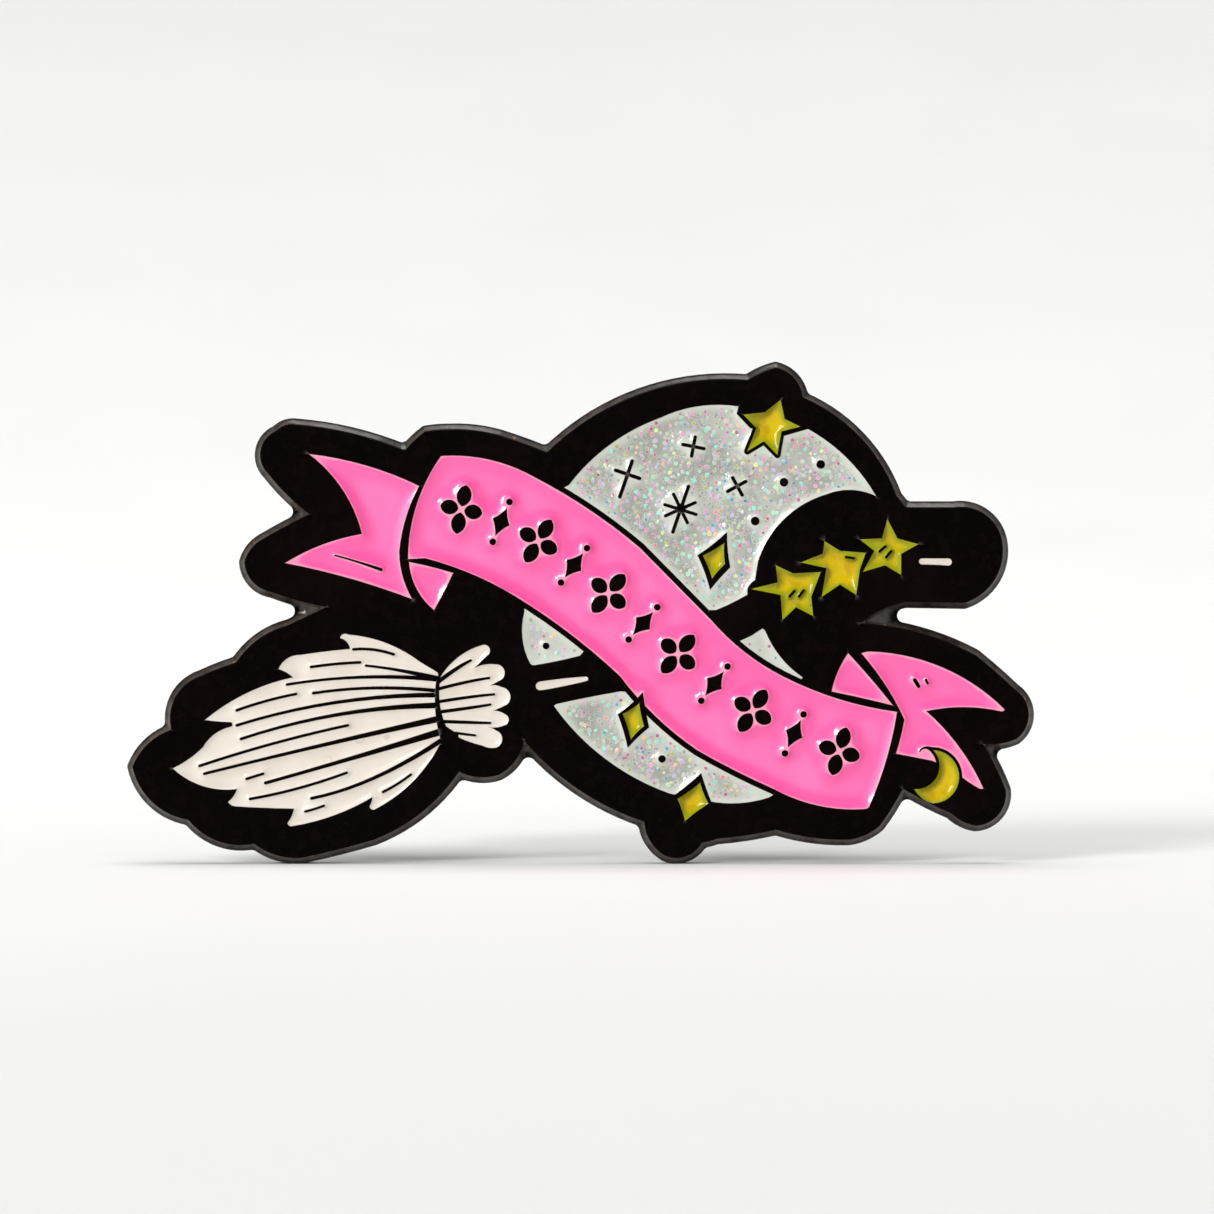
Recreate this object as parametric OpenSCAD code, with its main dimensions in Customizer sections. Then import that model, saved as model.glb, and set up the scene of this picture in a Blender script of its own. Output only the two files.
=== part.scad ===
// Soft enamel pin: a die-struck black plate with sunken enamel cells, two posts soldered to its
// back, and two butterfly clutches. The plate stands upright: X runs to the wearer's left across
// the face, Z is up, the face looks towards -Y and the posts point along +Y. The origin is on the
// back face, midway between the silhouette's left and right ends.

/* [Plate] */
// Width of the plate from end to end
pin_w = 45.4; // [42:0.2:60]
// Thickness of the plate, back face to the tops of the raised lines
plate_t = 1.4; // [1.3:0.1:2.2]
// Height of the struck relief: the depth of the cells and of the sloping edge
relief_h = 0.45; // [0.35:0.05:0.6]
// Width of the sloping edge outside the flat face
edge_w = 0.3; // [0.2:0.05:0.4]
// Width of the raised line along the ribbon
line_w = 0.28; // [0.2:0.01:0.32]

/* [Enamel] */
// How far the enamel's surface lies below the raised lines
enamel_sink = 0.15; // [0.08:0.01:0.25]
// Height of the ornaments along the ribbon
ornament_h = 2.5; // [2:0.1:2.8]

/* [Posts] */
// Distance between the two posts
post_gap = 18; // [17:0.5:24]
// Diameter of a post's shank
post_d = 1.2; // [1.1:0.05:1.3]
// Length of a post, measured from the plate's back face
post_l = 9.5; // [9:0.25:11]
// Diameter of the foot that is soldered to the plate
foot_d = 3.2; // [3:0.1:3.6]

/* [Clutches] */
// Space between the plate's back and the clutch, taken up by the cloth
cloth_gap = 2.3; // [2.2:0.05:2.6]
// Diameter of a clutch's base, over its rolled rim
clutch_d = 11.4; // [11:0.1:12]
// Thickness of the sheet that the clutch is pressed from
sheet_t = 0.35; // [0.3:0.05:0.4]
// Width of a wing
wing_w = 4.4; // [4:0.1:4.6]

/* [Hidden] */
$fn = 48;

drawn_w = 45.4;                      // the width at which the outlines below are drawn
art = pin_w / drawn_w;               // what they are scaled by
base_h = plate_t - relief_h;         // height of the plate under the cells
enamel_h = relief_h - enamel_sink;   // depth of the enamel in its cell
smooth = 0.004;                      // how far a chord may leave its arc
lead = 0.17;                         // width of the thin raised lines that draw details
notch_r = 0.35;                      // radius that the trimming punch leaves in a notch

post_x = post_gap / 2;
post_z = -2.6;                       // height of the posts, low enough for the plate to hide the clutches
post_r = post_d / 2;
foot_h = 0.35;
pocket_r = foot_d / 2 + 0.5;         // the shallow pocket that the foot and its solder sit in
pocket_depth = 0.2;
groove_depth = 0.18;
groove_w = 0.6;
groove_from_tip = 2.9;               // distance of the groove's lower edge from the point's end
point_l = 1.2;

bore_r = post_r + 0.15;              // the hole in the clutch
cap_r = 3;
cap_h = 2.55;
wire_r = 0.22;                       // the spring's wire
spring_z = 1.75;
wing_t = 0.3;
wing_z = 1.1;                        // height at which a wing leaves the cap
wing_reach = 1.35;                   // distance of its inner end from the post's axis
pivot_x = 2.85;                      // distance from the post's axis to the bead that a wing rocks on
bead_r = 0.25;
play = 0.15;                         // room on each side of a wing in its window
sill_z = 0.62;                       // height of the window's lower edge
lintel_z = 2.1;                      // and of its upper edge

BLACK = [0.06, 0.055, 0.06];
PINK = [0.96, 0.4, 0.68];
GLITTER = [0.72, 0.73, 0.7];
YELLOW = [0.78, 0.72, 0.08];
WHITE = [0.9, 0.87, 0.82];
NICKEL = [0.72, 0.71, 0.68];
SOLDER = [0.6, 0.6, 0.6];

// ---- Outlines ----
// An outline runs clockwise, as a list of corners [x, z, rise]. The stretch from a corner to the
// next is an arc that rises that far from the straight line between them, outwards when positive.

function arc_points(a, b, rise) = rise == 0 ? [a] :
    let (chord = norm(b - a),
         along = (b - a) / chord,
         out = [-along[1], along[0]],
         half_turn = 2 * atan(2 * rise / chord),
         reach = chord / 2 / sin(half_turn),
         steps = ceil(abs(half_turn) / acos(1 - smooth / abs(reach))))
    [for (i = [0 : steps - 1])
        let (turn = half_turn * (2 * i / steps - 1))
        (a + b) / 2 + along * reach * sin(turn) + out * reach * (cos(turn) - cos(half_turn))];

function corner(p, i) = let (c = p[i % len(p)]) [c[0], c[1]];

function outline(p) = [for (i = [0 : len(p) - 1]) each arc_points(corner(p, i), corner(p, i + 1), p[i][2])];

module shape(p) polygon(outline(p));

// A stroke from a to b that passes through m halfway, with round ends. Its width goes from w_a
// to w_b, with most of the change near b.
function bezier(a, c, b, t) = (1 - t) * (1 - t) * a + 2 * t * (1 - t) * c + t * t * b;

function stroke_side(a, c, b, w_a, w_b, side, n = 10) = [for (i = [0 : n])
    let (t = i / n,
         run = 2 * (1 - t) * (c - a) + 2 * t * (b - c),
         across = [-run[1], run[0]] / norm(run))
    bezier(a, c, b, t) + side * across * (w_a + (w_b - w_a) * t ^ 2) / 2];

function round_end(at, from, w, n = 6) = [for (i = [1 : n - 1])
    let (turn = atan2(from[1] - at[1], from[0] - at[0]) - 180 * i / n)
    at + w / 2 * [cos(turn), sin(turn)]];

function reversed(p) = [for (i = [len(p) - 1 : -1 : 0]) p[i]];

module stroke(a, m, b, w_a, w_b) {
    c = 2 * m - (a + b) / 2;
    left = stroke_side(a, c, b, w_a, w_b, 1);
    right = stroke_side(a, c, b, w_a, w_b, -1);
    polygon(concat(left, round_end(b, left[len(left) - 1], w_b), reversed(right), round_end(a, right[0], w_a)));
}

module line(a, b, w = lead) stroke(a, (a + b) / 2, b, w, w);

module dot(at, r = 0.19) translate(at) circle(r);

// ---- Silhouette ----
// The flat face: scalloped lobes that follow the picture, with sharp notches between them
face_outline = [
    [-13.55, 5, 0.1], [-15.6, 7, 0.6], [-15.2, 9.17, 0.13], [-14.2, 9.5, 0.22],     // left tail, above
    [-8.75, 8.2, 0.04], [-7.75, 9.15, 0.03], [-6.5, 9.25, 0.1], [-4, 8.95, 0.03],   // ribbon's start
    [-1.65, 8.1, 1.18], [8.4, 11.72, 0.07], [9.8, 12.35, 0.32],                     // moon, top star
    [11.15, 10.85, 0.71], [15.85, 5.9, 0], [16.3, 5.35, 0],                         // moon's right side
    [18.7, 5.35, 0.68], [21.15, 3.45, 0.62], [19.25, 0.55, 0],                      // end of the handle
    [16.3, 0.6, -0.15], [14.05, -0.45, 0.33], [19.8, -2.05, 0.03], [21.8, -3.8, 0.63],
    [21.85, -6.25, 0.12], [20.15, -6.5, 0.07], [21.3, -8.8, 0.52], [19.8, -10.6, 0.11],
    [18.6, -10, 0.05], [16.15, -8.75, 0.05], [15, -10.6, 0.13], [13.45, -11.3, 0.15],
    [9.8, -10.8, 0.06], [6.85, -11.25, 0.02], [6.1, -11.45, 0.38], [4.25, -12.1, 0.25],
    [3.2, -10.4, 0.5], [-2.8, -6.35, 0.25], [-4.05, -8.05, 0.2],                    // moon's foot
    [-6.05, -7.9, 0.42], [-10.3, -11.3, 0.04], [-13.9, -12.2, 0.24],               // bristles
    [-16.3, -11.5, 0.5], [-19.6, -10.3, 0.6], [-22.4, -7.65, 0.3],
    [-20.45, -5.78, 0.6], [-19, -3.1, 0.03], [-17.2, -2.4, 0.3], [-14.6, -0.55, 0],
    [-12.7, 0.35, 0.07], [-15.45, 1.1, 0.36], [-16.8, 2.6, 0.15], [-15.9, 3.75, 0.03]]; // left tail, below

module face() shape(face_outline);

// The trimmed edge runs outside the face, and bridges its notches with round webs
module trim() offset(r = -notch_r) offset(r = edge_w + notch_r) face();

// ---- Ribbon ----
ribbon_outline = [
    [-6.95, 7.9, 0.35], [-2.3, 6.85, 0.18], [3, 3.3, 0], [6.55, -0.3, -0.23], [10.2, -3.15, -0.25],
    [15.85, -4.9, 0.16], [14.45, -9.65, 0.03], [14.2, -9.75, 0.33], [9.7, -8.75, 0.06], [5.85, -6.8, 0.22],
    [2, -3.1, -0.17], [-3.25, 0.9, -0.18], [-7.75, 2.8, 0], [-8.6, 2.75, 0.42]];

left_tail_outline = [
    [-13.55, 8, 0.24], [-8.05, 6.4, -0.18], [-9.05, 3.1, -0.16], [-8.4, 0.75, -0.15],
    [-14.75, 2.55, 0.2], [-10.9, 4, -0.42]];

left_fold_outline = [[-8.55, 2.6, 0.03], [-6.35, 2.05, 0.02], [-7.3, 0.2, 0.28]];

right_fold_outline = [[13.41, -1.96, 0.03], [15.65, -4.57, -0.02], [12.58, -3.87, 0.1]];

right_tail_outline = [
    [14.07, -1.96, 0.02], [14.5, -1.88, 0.7], [21.24, -4.78, 0.03], [21.08, -4.87, -0.21],
    [17.3, -4.85, 0.26], [20.17, -8.72, 0.03], [19.96, -8.72, 0.02], [19.13, -8.18, 0],
    [18, -7.5, 0], [17.6, -7.33, 0], [15.81, -6.98, -0.03], [16.23, -5.28, -0.15]];

// The ornaments stand along a curve down the ribbon's middle
ribbon_path = [[-7.1, 5.4], [0.9, 4.7], [5.1, -5.35], [14.3, -7.2]];
ornament_count = 11;

function cubic(p, t) = (1 - t) ^ 3 * p[0] + 3 * (1 - t) ^ 2 * t * p[1] + 3 * (1 - t) * t ^ 2 * p[2] + t ^ 3 * p[3];

function path_turn(p, t) = let (step = cubic(p, t + 0.01) - cubic(p, t - 0.01)) atan2(step[1], step[0]);

// A leaf that points along +z from the centre
module leaf(from, to, w) shape([[0, from, w / 2], [0, to, w / 2]]);

module blossom() {
    for (turn = [0 : 90 : 270])
        rotate(turn) leaf(0.15, ornament_h / 2 - (turn % 180) / 90 * 0.18, 0.74);
}

module lozenge() {
    shape([[0, 0.78, -0.05], [0.46, 0, -0.05], [0, -0.78, -0.05], [-0.46, 0, -0.05]]);
    for (side = [-1, 1]) dot([0, side * (ornament_h / 2 - 0.17)], 0.17);
}

module ornaments() {
    for (i = [0 : ornament_count - 1]) {
        t = (i + 0.55) / (ornament_count + 0.1);
        translate(cubic(ribbon_path, t)) rotate(path_turn(ribbon_path, t))
            if (i % 2 == 0) blossom(); else lozenge();
    }
}

// ---- Stars, diamonds and crescent ----
top_star_outline = [
    [10.03, 10.71, 0], [10.23, 9.76, 0], [11.02, 9.37, 0], [10.07, 9.14, 0], [9.87, 7.96, 0],
    [9.2, 8.64, 0], [8.37, 8.14, 0], [8.83, 9.3, 0], [8.17, 9.97, 0], [9.24, 10.09, 0]];
left_star_outline = [
    [9.79, 2.44, 0], [10.65, 2.03, 0], [12.04, 2.1, 0], [11.56, 0.86, 0], [11.66, -0.1, 0],
    [10.8, 0.34, 0], [10.13, -0.29, 0], [10.03, 0.96, 0], [8.55, 1.25, 0], [9.89, 1.58, 0]];
middle_star_outline = [
    [12.23, 3.64, 0], [13, 3.16, 0], [14.29, 3.06, 0], [14, 2.25, 0], [13.81, 0.96, 0],
    [13, 1.48, 0], [12.09, 0.86, 0], [12.33, 2.3, 0], [11.04, 2.58, 0], [12.14, 3.01, 0]];
right_star_outline = [
    [15.37, 4.74, 0], [15.87, 3.78, 0], [16.92, 3.49, 0], [16.06, 3.01, 0], [16.06, 1.96, 0],
    [15.25, 2.44, 0], [14.15, 2.11, 0], [14.72, 3.16, 0], [14, 3.73, 0], [15.1, 3.78, 0]];

upper_diamond_outline = [[7.21, 3.54, -0.03], [7.25, 2.5, -0.03], [6.61, 1.78, -0.03], [6.15, 2.92, -0.03]];
upper_diamond_border = [[7.36, 4.12, -0.05], [7.52, 2.34, -0.02], [6.5, 1.2, -0.05], [5.87, 2.94, -0.05]];
middle_diamond_outline = [[2.96, -4.47, -0.03], [3.2, -5.6, -0.03], [2.55, -6.26, -0.03], [2.14, -5, -0.03]];
middle_diamond_border = [[3.15, -3.9, -0.02], [3.46, -5.67, -0.03], [2.38, -6.7, -0.04], [1.88, -5.02, -0.05]];
lower_diamond_outline = [[6, -8.45, -0.03], [6.42, -9.48, -0.03], [5.25, -10.35, -0.03], [4.88, -9.25, -0.03]];
lower_diamond_border = [[6.06, -7.95, -0.02], [6.62, -9.52, -0.02], [5.2, -10.6, 0], [4.66, -9.1, -0.03]];

crescent_outline = [[17.68, -6.81, 1.3], [17.64, -9.47, 0.12], [16.72, -8.76, -0.74]];

module crescent_border() {
    offset(r = 0.16) shape(crescent_outline);
    stroke([16.99, -6.86], [17.3, -6.68], [17.7, -6.86], 0.08, 0.3);
}

// ---- Moon ----
moon_outline = [
    [-0.55, 6.45, 0.41], [4, 9.8, 0.3], [7.92, 10.38, 0], [7.83, 10.01, 0], [8.5, 9.3, 0], [10.2, 8.9, 0],
    [11.4, 9.25, 0.33], [14.8, 5.9, -0.26], [12.35, 6, -0.6], [8.9, 2.65, 0], [8.75, 1.7, -0.05],
    [8.37, 1.26, 0], [8.37, 0.97, 0.03], [6.8, 0.2, 0], [5.5, 0.2, 0], [-1.4, 6, 0]];
moon_sliver_outline = [
    [9.12, -0.73, 0.02], [9.27, -0.87, -0.22], [11.13, -3.17, 0.02], [11.03, -3.27, 0.02],
    [10, -3.3, 0], [8, -1.35, 0], [8.55, -1.1, 0]];
moon_corner_outline = [
    [-2.78, 0.5, 0], [0.4, -1.6, 0], [0, -2.08, 0.03], [-2.3, -2.56, 0.03], [-2.5, -2.46, 0.24], [-2.78, 0.1, 0]];
moon_foot_outline = [
    [-1.3, -4.6, 0.03], [-1.06, -4.48, 0.02], [2.05, -3.87, 0], [3.5, -4, 0], [9.9, -8.9, 0],
    [9.45, -9.17, 0.2], [6.4, -9.35, 0], [4.5, -8.98, 0.56]];

// What the ribbon covers, with the raised line around it
module ribbon_band() offset(delta = line_w) shape(ribbon_outline);

module star_border() offset(r = 0.17) shape(top_star_outline);

// Crosses, rays and dots that stand up out of the glitter
module moon_marks() {
    line([2.61, 7.65], [1.99, 5.86], 0.19);
    line([1.78, 7.19], [2.98, 6.78], 0.19);
    line([5.76, 8.85], [5.58, 7.9], 0.18);
    line([5.14, 8.48], [6.2, 8.27], 0.18);
    line([7.63, 6.82], [8.11, 5.95], 0.18);
    line([8.29, 6.63], [7.38, 6.13], 0.18);
    line([5.43, 6.39], [4.64, 4.1], 0.18);
    line([4.68, 5.99], [5.37, 4.56], 0.17);
    line([4.24, 5.47], [5.8, 4.98], 0.17);
    line([5.76, 5.57], [4.27, 4.91], 0.17);
    dot([5.05, 5.28], 0.24);
    for (at = [[10.2, 6.59], [8.76, 4.65], [12.04, 7.48]]) dot(at, 0.22);
}

// ---- Broom ----
bristle_outline = [
    [-20.37, -7.72, -0.08], [-18.86, -6.67, 0.18], [-17.5, -5.65, -0.12], [-17.5, -5.4, 0.02],
    [-18.76, -5.3, 0.3], [-14.35, -3.17, -0.05], [-15.08, -2.75, 0.2], [-14, -2.05, 0.02],
    [-11.5, -1.75, -0.12], [-12, -1.2, 0.12], [-11.6, -1.03, 0.28], [-8, -2.4, 0], [-7.2, -2.88, 0.1],
    [-7.18, -3.2, -0.18], [-6.95, -6.4, 0.38], [-10.28, -9.78, 0.08], [-10.52, -9.6, -0.03],
    [-10.38, -9.15, 0.2], [-14.35, -10.6, 0.08], [-14.63, -10.45, -0.05], [-14.3, -9.73, 0.02],
    [-17.2, -9.62, 0.06], [-17.6, -9.4, -0.06], [-17.15, -8.75, 0.38]];

// The raised lines between the bristles: start, middle, end, width at each end
bristle_lines = [
    [[-11.33, -1.77], [-10.35, -1.78], [-9.32, -2.02], 0.15, 0.15],
    [[-13.45, -2.65], [-12.22, -2.5], [-11, -2.42], 0.15, 0.15],
    [[-10.71, -2.58], [-8.9, -2.84], [-7.1, -3.25], 0.13, 0.3],
    [[-14.66, -3.53], [-10.95, -3.16], [-7.1, -3.27], 0.14, 0.24],
    [[-13.34, -3.96], [-10.3, -3.7], [-7.15, -3.84], 0.15, 0.2],
    [[-17.17, -5.57], [-12.25, -4.43], [-7.15, -4.05], 0.15, 0.25],
    [[-16.96, -6.25], [-12.1, -5.03], [-7.1, -4.57], 0.15, 0.3],
    [[-19.03, -7.6], [-15.35, -6.48], [-11.62, -5.57], 0.15, 0.15],
    [[-18.79, -7.99], [-12.97, -6.58], [-7.05, -5.24], 0.15, 0.33],
    [[-15.73, -8.45], [-11.5, -7.24], [-6.95, -5.88], 0.17, 0.36],
    [[-16.5, -9.25], [-14.1, -8.72], [-11.67, -7.94], 0.15, 0.14],
    [[-13.43, -9.22], [-10.3, -8.2], [-6.9, -6.3], 0.16, 0.26],
    [[-13.74, -9.88], [-13.27, -9.75], [-12.81, -9.59], 0.13, 0.13],
    [[-16.68, -8.25], [-16.27, -8.12], [-15.85, -7.99], 0.14, 0.14],
    [[-9.85, -8.9], [-9.15, -8.51], [-8.46, -8.03], 0.14, 0.13],
    [[-17.17, -4.82], [-15.7, -4.35], [-14.2, -4], 0.15, 0.14]];

binding_outline = [
    [-6.95, -3.1, 0.24], [-4.88, -1.55, 0.26], [-4.65, -2.08, 0], [-5.3, -2.7, 0.08], [-4.22, -2.52, 0.3],
    [-3.93, -3.28, 0], [-4.5, -3.58, 0.06], [-3.93, -3.66, 0.3], [-3.65, -4.52, 0.02], [-4.36, -4.83, 0.05],
    [-3.74, -5.02, 0.2], [-3.79, -5.57, 0.05], [-4.58, -5.67, 0.03], [-4.22, -5.82, 0.33],
    [-4.22, -6.69, 0.05], [-4.88, -6.58, 0.03], [-6.03, -6.19, 0.08], [-5.98, -5.98, 0.05], [-6.7, -5.6, 0.2]];

binding_lines = [
    [[-7.1, -3.4], [-6.2, -2.75], [-5.46, -2.32], 0.22, 0.13],
    [[-7.2, -3.78], [-5.75, -3.42], [-4.55, -3.2], 0.17, 0.13],
    [[-7.2, -4.41], [-5.65, -4.17], [-4.3, -4.02], 0.17, 0.13],
    [[-7.2, -4.92], [-5.7, -4.72], [-4.49, -4.53], 0.18, 0.13],
    [[-7, -5.37], [-5.6, -5.42], [-4.5, -5.45], 0.18, 0.13],
    [[-6.2, -5.95], [-5.7, -6.02], [-5.25, -6.07], 0.14, 0.12]];

module strokes(list) for (s = list) stroke(s[0], s[1], s[2], s[3], s[4]);

// ---- Cells: the plan of each enamel-filled hollow ----
module ribbon_cell() difference() {
    shape(ribbon_outline);
    ornaments();
    shape(middle_diamond_border);
}

module left_tail_cell() difference() {
    shape(left_tail_outline);
    stroke([-12.25, 2.93], [-11.1, 2.6], [-9.95, 2.22], 0.09, 0.18);
}

module left_fold_cell() shape(left_fold_outline);

module right_fold_cell() shape(right_fold_outline);

module right_tail_cell() difference() {
    shape(right_tail_outline);
    crescent_border();
    line([16.74, -3.3], [16.93, -3.61], 0.2);
    line([17.3, -3.3], [17.38, -3.46], 0.14);
}

module moon_cell() difference() {
    shape(moon_outline);
    ribbon_band();
    star_border();
    shape(upper_diamond_border);
    moon_marks();
}

module moon_sliver_cell() difference() {
    shape(moon_sliver_outline);
    ribbon_band();
}

module moon_corner_cell() difference() {
    shape(moon_corner_outline);
    ribbon_band();
    dot([-1.7, -1.6], 0.17);
}

module moon_foot_cell() difference() {
    shape(moon_foot_outline);
    ribbon_band();
    shape(middle_diamond_border);
    shape(lower_diamond_border);
    dot([4.1, -7.25], 0.19);
}

module top_star_cell() shape(top_star_outline);

module left_star_cell() difference() {
    shape(left_star_outline);
    line([10.48, 0.88], [10.72, 1.15], 0.14);
    line([10.96, 0.88], [11.17, 1.17], 0.14);
}

module middle_star_cell() difference() {
    shape(middle_star_outline);
    line([13.3, 2.85], [13.68, 2.79], 0.13);
}

module right_star_cell() difference() {
    shape(right_star_outline);
    line([14.98, 3.13], [15.27, 3.38], 0.14);
    line([15.31, 2.84], [15.56, 3.14], 0.14);
}

module upper_diamond_cell() shape(upper_diamond_outline);

module middle_diamond_cell() shape(middle_diamond_outline);

module lower_diamond_cell() shape(lower_diamond_outline);

module crescent_cell() shape(crescent_outline);

module bristle_cell() difference() {
    shape(bristle_outline);
    strokes(bristle_lines);
}

module binding_cell() difference() {
    shape(binding_outline);
    strokes(binding_lines);
}

module left_highlight_cell() stroke([-2, -3.6], [-0.85, -3.42], [0.3, -3.24], 0.43, 0.22);

module right_highlight_cell() stroke([17.1, 2.63], [17.8, 2.62], [18.42, 2.6], 0.3, 0.36);

module all_cells() {
    ribbon_cell();
    left_tail_cell();
    left_fold_cell();
    right_fold_cell();
    right_tail_cell();
    moon_cell();
    moon_sliver_cell();
    moon_corner_cell();
    moon_foot_cell();
    top_star_cell();
    left_star_cell();
    middle_star_cell();
    right_star_cell();
    upper_diamond_cell();
    middle_diamond_cell();
    lower_diamond_cell();
    crescent_cell();
    bristle_cell();
    binding_cell();
    left_highlight_cell();
    right_highlight_cell();
}

// ---- Plate and enamel ----
// Raises a plan from a height above the back face, towards the front
module struck(from, h) rotate([90, 0, 0]) translate([0, 0, from]) linear_extrude(h) scale(art) children();

module at_post(side) translate([side * post_x, 0, post_z]) rotate([-90, 0, 0]) children();

module base_plate() color(BLACK) {
    difference() {
        struck(0, base_h) trim();
        for (side = [-1, 1]) at_post(side) translate([0, 0, -pocket_depth]) cylinder(r = pocket_r, h = 1);
    }
    struck(base_h, relief_h) difference() {
        face();
        all_cells();
    }
}

module enamel(paint) color(paint) struck(base_h, enamel_h) children();

module ribbon_enamel() enamel(PINK) ribbon_cell();
module left_tail_enamel() enamel(PINK) left_tail_cell();
module left_fold_enamel() enamel(PINK) left_fold_cell();
module right_fold_enamel() enamel(PINK) right_fold_cell();
module right_tail_enamel() enamel(PINK) right_tail_cell();
module moon_glitter() enamel(GLITTER) moon_cell();
module moon_sliver_glitter() enamel(GLITTER) moon_sliver_cell();
module moon_corner_glitter() enamel(GLITTER) moon_corner_cell();
module moon_foot_glitter() enamel(GLITTER) moon_foot_cell();
module top_star_enamel() enamel(YELLOW) top_star_cell();
module left_star_enamel() enamel(YELLOW) left_star_cell();
module middle_star_enamel() enamel(YELLOW) middle_star_cell();
module right_star_enamel() enamel(YELLOW) right_star_cell();
module upper_diamond_enamel() enamel(YELLOW) upper_diamond_cell();
module middle_diamond_enamel() enamel(YELLOW) middle_diamond_cell();
module lower_diamond_enamel() enamel(YELLOW) lower_diamond_cell();
module crescent_enamel() enamel(YELLOW) crescent_cell();
module bristle_enamel() enamel(WHITE) bristle_cell();
module binding_enamel() enamel(WHITE) binding_cell();
module left_highlight_enamel() enamel(WHITE) left_highlight_cell();
module right_highlight_enamel() enamel(WHITE) right_highlight_cell();

// ---- Posts ----
// A nail: a flat foot in the plate's pocket, a shank with a groove near its end, and a point
module post(side) color(NICKEL) at_post(side) rotate_extrude() {
    translate([0, -pocket_depth]) square([foot_d / 2, foot_h]);
    difference() {
        polygon([[0, 0], [post_r, 0], [post_r, post_l - point_l], [0.12, post_l - 0.08], [0, post_l]]);
        translate([post_r - groove_depth, post_l - groove_from_tip]) square([1, groove_w]);
    }
}

// The fillet of solder around a post's foot
module solder(side) color(SOLDER) at_post(side) rotate_extrude()
    translate([foot_d / 2, -pocket_depth]) polygon([[0, 0], [pocket_r - foot_d / 2, 0], [0.18, 0.1], [0, 0.26]]);

// ---- Clutches ----
module at_clutch(side) at_post(side) translate([0, 0, cloth_gap]) children();

// A pressed disc with a rolled rim and a low collar around its hole
module clutch_base(side) color(NICKEL) at_clutch(side) rotate_extrude() {
    rim_r = 0.4;
    translate([bore_r, 0]) square([clutch_d / 2 - rim_r - bore_r, sheet_t]);
    translate([bore_r, 0]) square([sheet_t, 0.75]);
    translate([clutch_d / 2 - rim_r, rim_r]) circle(rim_r);
}

// A drawn cap that closes over the spring, with a window on each side for a wing
module clutch_cap(side) color(NICKEL) at_clutch(side) difference() {
    rotate_extrude() {
        translate([cap_r - sheet_t, sheet_t]) square([sheet_t, cap_h - sheet_t]);
        translate([bore_r, cap_h - sheet_t]) square([cap_r - bore_r, sheet_t]);
        translate([cap_r - sheet_t, sheet_t]) square([0.85, 0.25]);
    }
    translate([-cap_r - 1, -wing_w / 2 - play, sill_z])
        cube([2 * cap_r + 2, wing_w + 2 * play, lintel_z - sill_z]);
}

// A U of wire whose two legs hold the post between them
module clutch_spring(side) color(NICKEL) at_clutch(side) translate([0, 0, spring_z]) {
    leg_y = post_r + wire_r + 0.01;
    leg_x = 1.5;
    for (y = [-leg_y, leg_y])
        translate([-leg_x, y, 0]) rotate([0, 90, 0]) cylinder(r = wire_r, h = 2.6);
    translate([1.1, 0, 0]) rotate([0, 0, -90]) rotate_extrude(angle = 180)
        translate([leg_y, 0]) circle(wire_r);
}

// A wing: out of the cap's window over the bead it rocks on, up in a curve, and rolled outwards
// at its tip
module wing(side, way) color(NICKEL) at_clutch(side) mirror([way < 0 ? 1 : 0, 0, 0]) {
    intersection() {
        rotate([90, 0, 0]) translate([0, 0, -wing_w / 2]) linear_extrude(wing_w) {
            stroke([wing_reach, wing_z], [2.6, wing_z - 0.04], [3.9, wing_z + 0.25], wing_t, wing_t);
            stroke([3.9, wing_z + 0.25], [5.05, 2.6], [5.3, 4.2], wing_t, wing_t);
            stroke([5.3, 4.2], [5.38, 4.95], [5.85, 5.3], wing_t, wing_t);
        }
        union() {
            translate([0, -wing_w / 2, 0]) cube([8, wing_w, 3.4]);
            translate([0, 0, 3.4]) rotate([0, 90, 0]) cylinder(r = wing_w / 2, h = 8);
        }
    }
    translate([pivot_x, wing_w / 2, wing_z]) rotate([90, 0, 0]) cylinder(r = bead_r, h = wing_w);
}

module left_post() post(-1);
module right_post() post(1);
module left_solder() solder(-1);
module right_solder() solder(1);
module left_clutch_base() clutch_base(-1);
module left_clutch_cap() clutch_cap(-1);
module left_clutch_spring() clutch_spring(-1);
module left_wing_inner() wing(-1, 1);
module left_wing_outer() wing(-1, -1);
module right_clutch_base() clutch_base(1);
module right_clutch_cap() clutch_cap(1);
module right_clutch_spring() clutch_spring(1);
module right_wing_inner() wing(1, -1);
module right_wing_outer() wing(1, 1);

base_plate();
ribbon_enamel();
left_tail_enamel();
left_fold_enamel();
right_fold_enamel();
right_tail_enamel();
moon_glitter();
moon_sliver_glitter();
moon_corner_glitter();
moon_foot_glitter();
top_star_enamel();
left_star_enamel();
middle_star_enamel();
right_star_enamel();
upper_diamond_enamel();
middle_diamond_enamel();
lower_diamond_enamel();
crescent_enamel();
bristle_enamel();
binding_enamel();
left_highlight_enamel();
right_highlight_enamel();
left_post();
right_post();
left_solder();
right_solder();
left_clutch_base();
left_clutch_cap();
left_clutch_spring();
left_wing_inner();
left_wing_outer();
right_clutch_base();
right_clutch_cap();
right_clutch_spring();
right_wing_inner();
right_wing_outer();
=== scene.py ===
# %% [markdown]
# # A soft enamel pin with two butterfly clutches
# A soft enamel pin is struck from a sheet of metal: the die leaves low walls standing round hollow
# cells, the metal is dyed black, and liquid enamel is dropped into the cells and baked. Two nails
# are soldered to the back, and a sprung clutch slides onto each.
#
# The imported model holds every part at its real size. The steps below build a finer skin in the
# same place: rounded metal, enamel that climbs its walls, loose glitter, and rolled sheet.

# %% Load the frame
import math

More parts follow.
